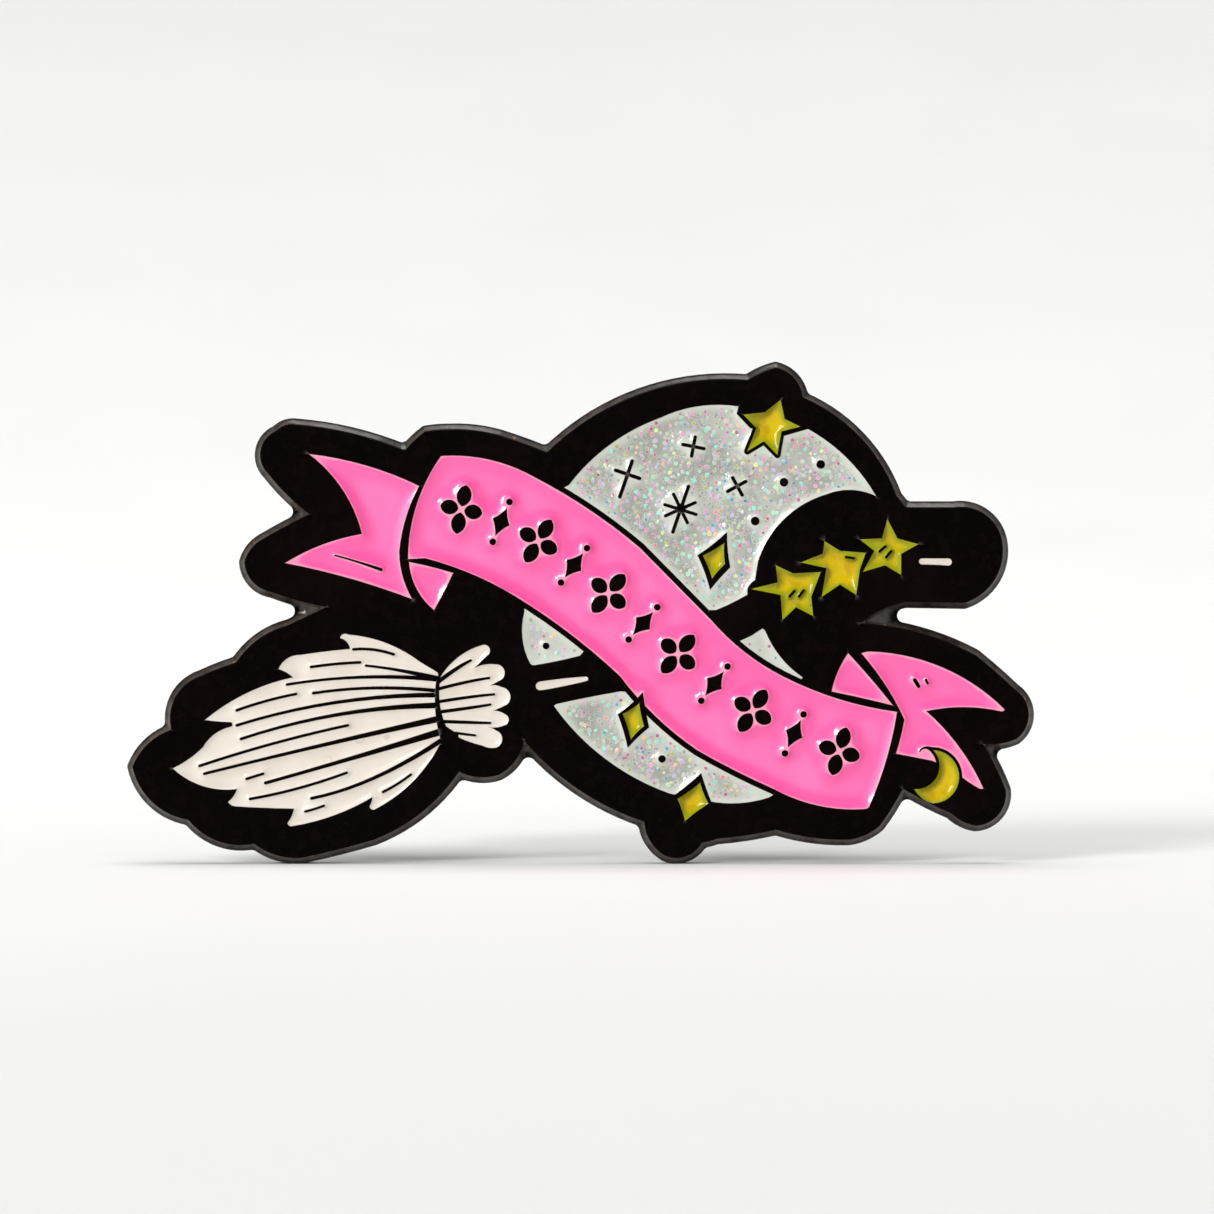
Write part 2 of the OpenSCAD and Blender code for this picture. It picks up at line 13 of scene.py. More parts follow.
import bmesh
import bpy
import numpy as np
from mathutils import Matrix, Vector
from mathutils.geometry import delaunay_2d_cdt


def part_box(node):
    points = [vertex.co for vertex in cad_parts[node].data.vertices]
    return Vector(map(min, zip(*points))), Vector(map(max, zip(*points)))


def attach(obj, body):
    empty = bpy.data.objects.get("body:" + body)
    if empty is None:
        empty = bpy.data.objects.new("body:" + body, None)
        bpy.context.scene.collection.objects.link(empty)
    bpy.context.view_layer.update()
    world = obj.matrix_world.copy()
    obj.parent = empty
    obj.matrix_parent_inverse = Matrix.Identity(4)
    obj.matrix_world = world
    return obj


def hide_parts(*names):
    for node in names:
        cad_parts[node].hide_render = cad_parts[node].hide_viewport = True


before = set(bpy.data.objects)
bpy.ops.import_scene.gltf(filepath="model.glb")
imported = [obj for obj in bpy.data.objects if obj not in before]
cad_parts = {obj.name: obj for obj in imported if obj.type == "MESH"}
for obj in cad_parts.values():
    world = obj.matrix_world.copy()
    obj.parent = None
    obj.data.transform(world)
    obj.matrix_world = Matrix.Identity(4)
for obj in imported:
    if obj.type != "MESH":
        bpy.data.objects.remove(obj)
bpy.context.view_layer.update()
MM = 0.001

# %% [markdown]
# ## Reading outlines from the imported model
# The picture is drawn once, in the CAD source, so the new surfaces take their borders from the flat
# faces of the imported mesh. An edge is on a border when only one triangle of the face uses it.

# %% Borders of flat faces
SAME_MM = 1e-4  # corners closer than this are one corner
FLAT_MM = 1e-3  # how far the corners of a flat face may stray from its height


def mesh_arrays(node):
    """The corners of a CAD node in millimetres, and its triangles."""
    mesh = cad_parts[node].data
    corners = np.empty(3 * len(mesh.vertices))
    mesh.vertices.foreach_get("co", corners)
    mesh.calc_loop_triangles()
    triangles = np.empty(3 * len(mesh.loop_triangles), np.int32)
    mesh.loop_triangles.foreach_get("vertices", triangles)
    return corners.reshape(-1, 3) / MM, triangles.reshape(-1, 3)


def border_of(node, level):
    """The border of a node's flat face at y = level: its points (x, z), and edges as pairs of
    indices. Each edge runs with the face on its left, as seen from the front."""
    corners, triangles = mesh_arrays(node)
    flat = np.abs(corners[triangles][:, :, 1] - level).max(1) < FLAT_MM
    keys = np.round(corners[:, [0, 2]] / SAME_MM).astype(np.int64)
    points, index = np.unique(keys, axis=0, return_inverse=True)
    triangles, points = index.ravel()[triangles[flat]], points * SAME_MM
    a, b, c = (points[triangles[:, k]] for k in range(3))
    turn = (b[:, 0] - a[:, 0]) * (c[:, 1] - a[:, 1]) - (b[:, 1] - a[:, 1]) * (c[:, 0] - a[:, 0])
    triangles = np.where((turn < 0)[:, None], triangles[:, ::-1], triangles)
    edges = np.concatenate([triangles[:, pair] for pair in ([0, 1], [1, 2], [2, 0])])
    size = len(points)
    there, back = edges[:, 0] * size + edges[:, 1], edges[:, 1] * size + edges[:, 0]
    return points, edges[~np.isin(there, back)]


PLATE_FRONT, ENAMEL_FRONT = (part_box(n)[0].y / MM for n in ("base_plate", "ribbon_enamel"))
PLATE_LEDGE = -0.95  # height of the ledge round the plate and of the floors of the cells
plate_points, plate_edges = border_of("base_plate", PLATE_FRONT)
print(f"front face: {len(plate_edges)} border edges")

# %% [markdown]
# ## Filling an outline with triangles
# A constrained Delaunay triangulation keeps the outline's own edges and joins any points scattered
# inside it. Points go where the surface bends most: in rows just inside the outline, then on an
# open grid in the middle.

# %% Points inside an outline
STEP_MM = 0.14  # spacing along an outline
CHUNK = 1200  # points handled at once, so that the tables stay small
THIN_OUT_MM = 0.25  # rows deeper than this need only every second point
ROW_SHARE = 0.96  # a point of a row has to be this share of its depth from every edge
HEX_RISE = 0.866  # the height of an even-sided triangle whose sides are one


def sampled(points, edges, step=STEP_MM):
    """The same border with each edge cut into equal parts: its length over the step, rounded up."""
    a, b = points[edges[:, 0]], points[edges[:, 1]]
    parts = np.maximum(1, np.ceil(np.linalg.norm(b - a, axis=1) / step)).astype(int)
    edge = np.repeat(np.arange(len(edges)), parts)
    first = np.repeat(np.cumsum(parts) - parts, parts)
    share = ((np.arange(len(edge)) - first) / parts[edge])[:, None]
    cuts = a[edge] + (b - a)[edge] * share
    ends = np.round(np.concatenate([cuts, b]) / SAME_MM).astype(np.int64)
    keys, index = np.unique(ends, axis=0, return_inverse=True)
    index = index.ravel()
    start = index[: len(cuts)]
    last = np.cumsum(parts) - 1
    stop = np.append(start[1:], 0)
    stop[last] = index[len(cuts):]
    return keys * SAME_MM, np.stack([start, stop], 1)


def distance_to(spots, points, edges):
    """How far each spot lies from the nearest edge: the gap to the foot of the perpendicular, held
    between the edge's two ends."""
    a = points[edges[:, 0]].astype(np.float32)
    run = points[edges[:, 1]].astype(np.float32) - a
    square = (run**2).sum(1)
    nearest = []
    for part in np.array_split(spots.astype(np.float32), len(spots) // CHUNK + 1):
        x, z = part[:, 0, None] - a[:, 0], part[:, 1, None] - a[:, 1]
        along = np.clip((x * run[:, 0] + z * run[:, 1]) / square, 0, 1)
        square_gap = (x - along * run[:, 0]) ** 2 + (z - along * run[:, 1]) ** 2
        nearest.append(np.sqrt(square_gap.min(1)))
    return np.concatenate(nearest)


def inside(spots, points, edges):
    """Which spots lie inside a border: a ray to the right crosses it an odd number of times."""
    a, b = points[edges[:, 0]], points[edges[:, 1]]
    rise = np.where(b[:, 1] == a[:, 1], 1, b[:, 1] - a[:, 1])
    found = []
    for part in np.array_split(spots, len(spots) // CHUNK + 1):
        x, z = part[:, :1], part[:, 1:]
        spans = (a[:, 1] > z) != (b[:, 1] > z)
        ahead = x < a[:, 0] + (z - a[:, 1]) * (b[:, 0] - a[:, 0]) / rise
        found.append((spans & ahead).sum(1) % 2 == 1)
    return np.concatenate(found)


def filled(points, edges, rows, pitch):
    """Triangles that fill a border. rows are distances from the border at which rows of points lie,
    and pitch is the spacing of the open grid beyond the last row. Gives the points with the
    border's own first, the triangles, and each point's distance from the border."""
    middle = (points[edges[:, 0]] + points[edges[:, 1]]) / 2
    run = points[edges[:, 1]] - points[edges[:, 0]]
    inward = np.stack([-run[:, 1], run[:, 0]], 1) / np.linalg.norm(run, axis=1)[:, None]
    extra = []
    for number, depth in enumerate(rows):
        every = 1 + int(depth > THIN_OUT_MM)
        row = (middle + inward * depth)[number % every::every]
        extra.append(row[distance_to(row, points, edges) > ROW_SHARE * depth])
    if pitch:
        low, high = points.min(0), points.max(0)
        x, z = np.meshgrid(
            np.arange(low[0], high[0], pitch), np.arange(low[1], high[1], pitch * HEX_RISE))
        x[1::2] += pitch / 2
        grid = np.stack([x.ravel(), z.ravel()], 1)
        grid = grid[inside(grid, points, edges)]
        if len(grid):
            extra.append(grid[distance_to(grid, points, edges) > max(rows) + pitch / 2])
    spots = np.concatenate([points, *extra])
    corners, _, faces, *_ = delaunay_2d_cdt(
        [Vector(p) for p in spots.tolist()], edges.tolist(), [], 0, SAME_MM / 10, False)
    assert len(corners) == len(spots), "two points of the outline fell together"
    faces = np.array([tuple(f) for f in faces])
    sides = faces * len(spots) + faces[:, [1, 2, 0]]
    kept = np.isin(sides, edges[:, 0] * len(spots) + edges[:, 1]).any(1)
    lost = np.isin(sides, edges[:, 1] * len(spots) + edges[:, 0]).any(1)
    unsure = ~kept & ~lost
    kept[unsure] = inside(spots[faces[unsure]].mean(1), points, edges)
    away = np.zeros(len(spots))
    away[len(points):] = distance_to(spots[len(points):], points, edges)
    return spots, faces[kept], away


plate_rim, plate_rim_edges = sampled(plate_points, plate_edges)
print(f"front border sampled at {len(plate_rim)} points")

# %% [markdown]
# ## From arrays to a piece
# The parts of a piece are welded where their points coincide, so that it is one closed skin. The
# volume inside is worked out as a test: a hole or a face turned inwards would spoil it.

# %% Making a piece
def at_height(points, y):
    """Plan points (x, z) lifted to the height y, which is one number or one for each point."""
    return np.stack([points[:, 0], np.broadcast_to(y, len(points)), points[:, 1]], 1)


def wall(points, edges, top, bottom):
    """A wall that drops from a border, with one four-cornered face for each edge, and faces away
    from the border's inner side."""
    count = len(points)
    ring = np.concatenate([at_height(points, top), at_height(points, bottom)])
    a, b = edges[:, 0], edges[:, 1]
    return ring, np.stack([a, a + count, b + count, b], 1)


def welded(parts):
    """One skin from several (points, faces) parts: points that round to the same place become one,
    and a sliver that shares no side with another triangle is dropped. The last array says which
    of the points given became each corner."""
    split, count = [], 0
    for points, faces in parts:
        if faces.shape[1] == 4:
            faces = np.concatenate([faces[:, [0, 1, 2]], faces[:, [0, 2, 3]]])
        split.append(faces + count)
        count += len(points)
    points = np.concatenate([p for p, _ in parts])
    _, first, index = np.unique(
        np.round(points / SAME_MM).astype(np.int64), axis=0, return_index=True, return_inverse=True)
    triangles = index.ravel()[np.concatenate(split)]
    sides = np.sort(np.stack([triangles, triangles[:, [1, 2, 0]]], 2), 2).reshape(-1, 2)
    _, number, uses = np.unique(sides, axis=0, return_inverse=True, return_counts=True)
    alone = (uses[number.ravel()].reshape(-1, 3) == 1).all(1)
    return points[first], triangles[~alone], first


def volume_of(points, triangles):
    """The volume inside a closed skin: a sixth of the sum of each triangle's triple product."""
    a, b, c = (points[triangles[:, k]] for k in range(3))
    return (a * np.cross(b, c)).sum() / 6


def crosses(points, triangles):
    """Each triangle's cross product of two sides: square to it, and twice its area long."""
    a, b, c = (points[triangles[:, k]] for k in range(3))
    return np.cross(b - a, c - a)


def placed(name, data):
    """An object in the scene."""
    made = bpy.data.objects.new(name, data)
    bpy.context.scene.collection.objects.link(made)
    return made


def shaped(name, points, faces):
    """A mesh object in metres from millimetre arrays, shaded smooth."""
    mesh = bpy.data.meshes.new(name)
    mesh.from_pydata((points * MM).tolist(), [], faces.tolist())
    mesh.shade_smooth()
    return placed(name, mesh)


def piece(name, points, faces, body, slot, stands_for=(), smooth_deg=40, **attributes):
    """A shaped object on a body, sharp where it bends by more than smooth_deg, with one attribute
    for each keyword: a number or a colour for each point."""
    made = shaped(name, points, faces)
    for label, values in attributes.items():
        kind, field = ("FLOAT", "value") if values.ndim == 1 else ("FLOAT_COLOR", "color")
        layer = made.data.attributes.new(label, kind, "POINT")
        layer.data.foreach_set(field, values.astype(np.float32).ravel())
    made.data.validate()
    made.data.set_sharp_from_angle(angle=math.radians(smooth_deg))
    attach(made, body)
    if stands_for:
        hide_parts(*stands_for)
    return made


# %% [markdown]
# ## The struck plate
# A die presses the sheet, so every raised line has a soft shoulder, and the punch that trims the
# pin leaves a sloping edge round the face. The front is one surface whose height falls away in
# a quarter circle near its border. The slope, the rim, the back with its two pockets, and the walls
# and floors of the cells follow from the same border points.

# %% Plate surfaces
SHOULDER_MM = 0.06  # radius of the raised metal's edges
SHOULDER_ROWS = [SHOULDER_MM / 2, SHOULDER_MM]  # where the quarter circle is sampled
SLOPE_MM = 0.3  # width of the sloping edge
WEB_SLOPES = 1.2  # past this many widths it is a web between two arms: no rubbing or painted sheen
FRONT_PITCH_MM, BACK_PITCH_MM = 0.6, 0.9
POCKET_FLOOR = -0.2  # height of the floors of the pockets that hold the posts


def shoulder_drop(away):
    """How far a rounded edge lies below its flat: a quarter circle, from the full radius on the
    border to nothing one radius inside it."""
    short = np.clip(SHOULDER_MM - away, 0, SHOULDER_MM)
    return SHOULDER_MM - np.sqrt(SHOULDER_MM**2 - short**2)


def shared(points, others):
    """Which points also appear among the others."""
    key = lambda p: np.round(p / SAME_MM).astype(np.int64) @ np.array([1_000_003, 1])
    return np.isin(key(points), key(others))


def loop_labels(points, edges):
    """One number for each closed loop of a border: every point takes the least number among its
    neighbours, over jumps that double in length, until nothing changes."""
    label = np.arange(len(points))
    follow = np.arange(len(points))
    follow[edges[:, 0]] = edges[:, 1]
    for _ in range(int(np.ceil(np.log2(len(points)))) + 1):
        label = np.minimum(label, label[follow])
        follow = follow[follow]
    return label


ENAMELS = [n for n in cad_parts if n.endswith(("enamel", "glitter"))]
cells = {n: sampled(*border_of(n, ENAMEL_FRONT)) for n in ENAMELS}
loops = loop_labels(plate_rim, plate_rim_edges)
in_cell = np.isin(loops, loops[shared(plate_rim, np.concatenate([p for p, _ in cells.values()]))])
cell_edges = plate_rim_edges[in_cell[plate_rim_edges[:, 0]]]
face_edges = plate_rim_edges[~in_cell[plate_rim_edges[:, 0]]]
trim, trim_edges = sampled(*border_of("base_plate", 0))
pocket_at = {s: np.array([sum(c[i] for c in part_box(f"{s}_post")) / 2 / MM for i in (0, 2)])
             for s in ("left", "right")}
POCKET_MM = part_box("left_solder")[1].x / MM - pocket_at["left"][0]
from_pocket = np.min([np.linalg.norm(trim - c, axis=1) for c in pocket_at.values()], axis=0)
in_pocket = from_pocket < POCKET_MM + 0.1
pocket_edges = trim_edges[in_pocket[trim_edges].all(1)]
outer_edges = trim_edges[~in_pocket[trim_edges].any(1)]
print(f"{len(cell_edges)} edges round {len(cells)} cells, {len(face_edges)} round the face")


def compact(points, edges):
    """A border with only the points that its edges use."""
    used, index = np.unique(edges, return_inverse=True)
    return points[used], index.reshape(edges.shape)


front, front_faces, front_away = filled(
    plate_rim, plate_rim_edges, SHOULDER_ROWS, FRONT_PITCH_MM)
front_y = PLATE_FRONT + shoulder_drop(front_away)
face_rim, face_rim_edges = compact(plate_rim, face_edges)
outer_rim, outer_rim_edges = compact(trim, outer_edges)
slope_points = np.concatenate([outer_rim, face_rim])
slope_border = np.concatenate([outer_rim_edges, face_rim_edges[:, ::-1] + len(outer_rim)])
slope, slope_faces, _ = filled(slope_points, slope_border, [0.1], None)
slope_far = distance_to(slope, face_rim, face_rim_edges)
slope_share = np.clip(slope_far / SLOPE_MM, 0, 1)
slope_share[: len(outer_rim)] = 1
# Painted grey on the sloping edge, paler by the face line and darker outward: rubbed dye and a
# painted reflection of the pale surroundings.
slope_wear = np.where(slope_far > WEB_SLOPES * SLOPE_MM, 0.1, 1 - 0.55 * slope_share)
slope_y = PLATE_FRONT + SHOULDER_MM + slope_share * (PLATE_LEDGE - PLATE_FRONT - SHOULDER_MM)
back, back_faces, back_away = filled(trim, trim_edges, SHOULDER_ROWS, BACK_PITCH_MM)
back_y = -shoulder_drop(back_away)
cell_rim, cell_rim_edges = compact(plate_rim, cell_edges)
floors, floor_faces, _ = filled(cell_rim, cell_rim_edges[:, ::-1], [], None)
pocket_rim, pocket_rim_edges = compact(trim, pocket_edges)
pockets, pocket_faces, _ = filled(pocket_rim, pocket_rim_edges[:, ::-1], [], None)
parts = [
    (at_height(front, front_y), front_faces),
    (at_height(slope, slope_y), slope_faces),
    wall(outer_rim, outer_rim_edges, PLATE_LEDGE, -SHOULDER_MM),
    (at_height(back, back_y), back_faces[:, ::-1]),
    wall(cell_rim, cell_rim_edges, PLATE_FRONT + SHOULDER_MM, PLATE_LEDGE),
    (at_height(floors, PLATE_LEDGE), floor_faces),
    wall(pocket_rim, pocket_rim_edges[:, ::-1], -SHOULDER_MM, POCKET_FLOOR),
    (at_height(pockets, POCKET_FLOOR), pocket_faces[:, ::-1]),
]
plate_corners, plate_triangles, first = welded(parts)
# How grey each point is painted: rubbed dye and a painted reflection on the shoulders, the sloping
# edge and the outer wall; none elsewhere.
edge_wear = np.concatenate([
    np.clip(1 - front_away / (2 * SHOULDER_MM), 0, 1), slope_wear,
    np.full(2 * len(outer_rim), 0.35), *[np.zeros(len(points)) for points, _ in parts[3:]]])[first]
plate = piece(
    "plate", plate_corners, plate_triangles, "pin", "black_metal", ["base_plate"], wear=edge_wear)
volume = volume_of(plate_corners, plate_triangles)
print(f"plate: {len(plate_triangles)} triangles, {volume:.1f} mm3 inside")

# %% [markdown]
# ## Enamel in its cells
# Enamel goes in as a liquid and shrinks as it cures, so it clings to the top of each wall and sags
# between them. A soap film over a stiff bed has that shape: its height h follows the rule that h
# less a length squared times its curvature is nothing, with h held at one along the walls. The
# rule is solved on the cell's own triangles, and the same h later colours the enamel by its depth
# and places painted shade and a painted highlight on its slopes.

# %% A liquid surface
WALL_TOP_MM = -1.345  # where the enamel grips the wall
SOLVE_STEPS, SOLVE_END = 400, 1e-5
LEAST_AREA, MOST_PULL = 1e-7, 20  # keep a sliver of a triangle from pulling too hard


def settled(points, faces, held, reach):
    """The share h of the wall's height at each point. Each edge of a triangle pulls its two ends
    together in proportion to the cotangent of the angle facing it, and each corner owns a third of
    its triangles' areas; the area plus reach squared times the pull, applied to h, is nothing
    wherever h is free. Conjugate gradients solve it, with h one on the held points."""
    count = len(points)
    starts, ends, pulls, areas = [], [], [], np.zeros(count)
    for k in range(3):
        i, j, o = faces[:, k], faces[:, (k + 1) % 3], faces[:, (k + 2) % 3]
        u, v = points[i] - points[o], points[j] - points[o]
        double = np.maximum(np.abs(u[:, 0] * v[:, 1] - u[:, 1] * v[:, 0]), LEAST_AREA)
        starts.append(i)
        ends.append(j)
        pulls.append(np.clip((u * v).sum(1) / double / 2, 0, MOST_PULL) * reach**2)
        areas += np.bincount(o, double / 6, count)
    i, j, w = np.concatenate(starts), np.concatenate(ends), np.concatenate(pulls)

    def applied(h):
        flow = w * (h[i] - h[j])
        return areas * h + np.bincount(i, flow, count) - np.bincount(j, flow, count)

    free = ~held
    height = held.astype(float)
    scale = 1 / (areas + np.bincount(i, w, count) + np.bincount(j, w, count))
    left = -applied(height) * free
    guess = scale * left
    way, worth = guess.copy(), (left * guess).sum()
    for _ in range(SOLVE_STEPS):
        if worth < SOLVE_END**2:
            break
        pushed = applied(way) * free
        step = worth / (way * pushed).sum()
        height += step * way
        left -= step * pushed
        guess = scale * left
        way, worth = guess + way * ((left * guess).sum() / worth), (left * guess).sum()
    return np.clip(height, 0, 1)


# %% [markdown]
# Glitter enamel is thick with flakes and sags less evenly, so its middle is lifted and dropped by a
# slow ripple. Narrow cells stay nearly full, because the film has no room to sag.

# %% Enamel pieces
ENAMEL_MM = {  # slot: (reach of the climb from a wall, height of the open middle, ripple)
    "pink_enamel": (0.5, -1.01, 0.02), "glitter_enamel": (0.42, -1.07, 0.06),
    "yellow_enamel": (0.27, -0.97, 0.0), "white_enamel": (0.26, -1.08, 0.01)}
ROWS_MM, GRID_MM = [0.04, 0.1, 0.18, 0.28, 0.4], 0.24  # where the surface has its points
SLOT_WORDS = {"glitter": "glitter", "star": "yellow", "diamond": "yellow", "crescent": "yellow",
              "bristle": "white", "binding": "white", "highlight": "white"}


def slot_of(node):
    """The material slot of an enamel node: the colour of the word in its name, or else pink."""
    return next((c for word, c in SLOT_WORDS.items() if word in node), "pink") + "_enamel"


def ripple(points):
    """A slow unevenness of the surface: three crossed sine waves a few millimetres long."""
    x, z = points[:, 0], points[:, 1]
    waves = ((1.9, 0.7, 0), (-1.1, 2.3, 2), (1.3, 3.1, 4))
    return sum(np.sin(a * x + b * z + c) for a, b, c in waves) / 3


def leaning(points, faces):
    """Which way the surface faces at each point: the sum of its triangles' cross products, made one
    long, with a fourth number of one so that it can be kept as a colour."""
    cross = crosses(points, faces)
    total = np.stack([
        np.bincount(faces.ravel(), np.repeat(cross[:, k], 3), len(points)) for k in range(3)], 1)
    total /= np.maximum(np.linalg.norm(total, axis=1), 1e-12)[:, None]
    return np.column_stack([total, np.ones(len(points))])


enamels, surfaces = {}, {}
for node, (rim, rim_edges) in cells.items():
    slot = slot_of(node)
    reach, middle, uneven = ENAMEL_MM[slot]
    top, top_faces, away = filled(rim, rim_edges, ROWS_MM, GRID_MM)
    h = settled(top, top_faces, away == 0, reach)
    middle = middle + uneven * ripple(top) * (1 - h)
    top_y = middle + (WALL_TOP_MM - middle) * h
    skin = at_height(top, top_y)
    base, base_faces, _ = filled(rim, rim_edges, [], None)
    corners, triangles, first = welded([
        (skin, top_faces), wall(rim, rim_edges, WALL_TOP_MM, PLATE_LEDGE),
        (at_height(base, PLATE_LEDGE), base_faces[:, ::-1])])
    rest = 2 * len(rim) + len(base)
    climb = np.concatenate([h, np.ones(rest)])[first]
    # Which way each point of the top faces, used to place painted shade and highlight on the
    # enamel.
    lean = np.concatenate([leaning(skin, top_faces), np.zeros((rest, 4))])[first]
    made = piece(node + "_skin", corners, triangles, "pin", slot, [node], climb=climb, lean=lean)
    enamels[node], surfaces[node] = made, (top, top_y)
    print(f"{node}: {len(triangles)} triangles, {volume_of(corners, triangles):.2f} mm3, "
          f"h falls to {h.min():.2f}")

# %% [markdown]
# ## Glitter
# The glitter is a film cut into hexagons a fifth of a millimetre across. They float up while the
# enamel cures and end at its surface, each a little askew, which is why one flashes blue and its
# neighbour pink. Each flake is a thin closed prism, with a paler ring at its edge where the film
# was cut. All flakes of the pin are one piece.

# %% Flake positions
GLITTER_SEED = 41
FLAKE_PITCH_MM = {"moon_glitter": 0.29, "moon_foot_glitter": 0.31, "moon_corner_glitter": 0.42,
                  "moon_sliver_glitter": 0.6}
CLEAR_MM, NEAR_POINTS = 0.16, 6  # gap to a wall, and mesh points that give height and slope
chance = np.random.default_rng(GLITTER_SEED)


def scattered(node, pitch):
    """Spots for flakes in a cell: a square grid with every spot moved at random by up to 0.45 of
    the pitch, less the spots too near a wall. Each takes the height and slope of the plane that
    fits the nearest mesh points best."""
    top, top_y = surfaces[node]
    low, high = top.min(0), top.max(0)
    x, z = np.meshgrid(np.arange(low[0], high[0], pitch), np.arange(low[1], high[1], pitch))
    spots = np.stack([x.ravel(), z.ravel()], 1)
    spots += chance.uniform(-0.45, 0.45, spots.shape) * pitch
    spots = spots[inside(spots, *cells[node])]
    spots = spots[distance_to(spots, *cells[node]) > CLEAR_MM]
    near = ((spots[:, None] - top[None]) ** 2).sum(2).argsort(1)[:, :NEAR_POINTS]
    gap = top[near] - spots[:, None]
    plane = np.stack([gap[:, :, 0], gap[:, :, 1], np.ones(near.shape)], 2)
    slope = np.linalg.solve(
        np.einsum("nki,nkj->nij", plane, plane) + 1e-6 * np.eye(3),
        np.einsum("nki,nk->ni", plane, top_y[near])[:, :, None])[:, :, 0]
    return np.column_stack([spots, slope[:, 2], slope[:, 0], slope[:, 1]])


flake_at = np.concatenate([scattered(n, p) for n, p in FLAKE_PITCH_MM.items()])
print(f"{len(flake_at)} flakes")

# %% [markdown]
# The flakes' colours are drawn by lot: most are greyish and nearly clear, and the rest go through
# the pinks, cyans, mints and peaches of a thin film. Colours are written as they look on screen and
# turned into the linear values that Blender adds up.

# %% Flake shapes
def linear(*screen):
    """Screen colours, 0 to 255, as linear light: below 0.04045 a twelfth, above it a 2.4 power."""
    c = np.array(screen, float) / 255
    return np.where(c <= 0.04045, c / 12.92, ((c + 0.055) / 1.055) ** 2.4)


FLAKE_TINTS = linear(
    (160, 161, 150), (196, 197, 188), (130, 228, 212), (160, 222, 184), (224, 145, 195),
    (186, 90, 146), (190, 172, 220), (80, 150, 186), (180, 176, 74), (248, 192, 128),
    (216, 232, 140), (224, 132, 136))
FLAKE_LOTS = np.array([26, 16, 9, 6, 12, 7, 8, 5, 4, 3, 2, 2])
SPOT_FLAKES = (((0.9, 6.85), (165, 30, 12)), ((0.3, 6.55), (250, 180, 120)))  # place mm, colour
FLAKE_MM, FLAKE_THICK_MM = 0.122, 0.022
FLAKE_RINGS = ((0.6, 0.0), (1.0, 0.3), (1.0, 1.0))  # shares of the radius and of the thickness


def flakes(at):
    """Hexagonal prisms of three rings of six corners: an inner one, an outer one a little lower,
    and the bottom. Each is turned by chance and leans with the surface under it, plus a little
    more by chance."""
    count = len(at)
    angle = np.arange(6) * math.pi / 3 + chance.uniform(0, math.pi / 3, (count, 1))
    size = FLAKE_MM * chance.uniform(0.7, 1.12, (count, 1))
    lean = at[:, None, 3:5] + chance.normal(0, 0.12, (count, 1, 2))
    rings = []
    for share, sink in FLAKE_RINGS:
        flat = np.stack([np.cos(angle), np.sin(angle)], 2) * (size * share)[:, :, None]
        x, z = at[:, None, 0] + flat[:, :, 0], at[:, None, 1] + flat[:, :, 1]
        y = at[:, None, 2] - FLAKE_THICK_MM / 2 + sink * FLAKE_THICK_MM + (flat * lean).sum(2)
        rings.append(np.stack([x, y, z], 2))
    points = np.stack(rings, 1).reshape(-1, 3)
    k, n = np.arange(6), (np.arange(6) + 1) % 6
    fan = np.array([[c[0], c[j], c[j + 1]] for c in (k, 17 - k) for j in range(1, 5)])
    bands = np.concatenate([np.stack([k + s, k + s + 6, n + s + 6, n + s], 1) for s in (0, 6)])
    bands = np.concatenate([bands[:, [0, 1, 2]], bands[:, [0, 2, 3]]])
    faces = (np.concatenate([fan, bands]) + 18 * np.arange(count)[:, None, None]).reshape(-1, 3)
    tint = FLAKE_TINTS[chance.choice(len(FLAKE_TINTS), count, p=FLAKE_LOTS / FLAKE_LOTS.sum())]
    for spot, colour in SPOT_FLAKES:
        tint[((at[:, :2] - spot) ** 2).sum(1).argmin()] = linear(*colour)
    tint = tint * chance.uniform(0.9, 1.08, (count, 1))
    edge = 0.2 * tint + 0.8 * linear(224, 226, 216)
    colours = np.repeat(np.stack([tint, edge, edge], 1), 6, 1)
    return points, faces, np.column_stack([colours.reshape(-1, 3), np.ones(18 * count)])


flake_points, flake_faces, flake_colours = flakes(flake_at)
glitter = piece("glitter_flakes", flake_points, flake_faces, "pin", "glitter_enamel", smooth_deg=10,
                tint=flake_colours)
print(f"glitter: {len(flake_faces)} triangles, {volume_of(flake_points, flake_faces):.3f} mm3")

# %% [markdown]
# ## Posts, solder and clutches
# The posts are cold-headed nails: a flat head that the solder grips, a straight shank, and a groove
# near the point that the spring snaps into. They are turned shapes: a profile carried round an
# axis, with its corners rounded, because the real parts are tumbled.

# %% Turned shapes
TURNS, NO_AREA = 72, 1e-9


def rounded(profile, radius, steps=4):
    """A profile of (radius, height) points with each inner corner swapped for a quadratic curve,
    which starts and ends at the same distance from the corner, at most 0.45 of either side."""
    p = np.array(profile, float)
    here, sides = p[1:-1], (p[:-2] - p[1:-1], p[2:] - p[1:-1])
    long = [np.linalg.norm(side, axis=1)[:, None] for side in sides]
    reach = np.minimum(radius, 0.45 * np.minimum(*long))
    a, b = (here + side / size * reach for side, size in zip(sides, long))
    t = np.linspace(0, 1, steps + 1)[None, :, None]
    arcs = (1 - t) ** 2 * a[:, None] + 2 * t * (1 - t) * here[:, None] + t**2 * b[:, None]
    return np.concatenate([p[:1], arcs.reshape(-1, 2), p[-1:]])


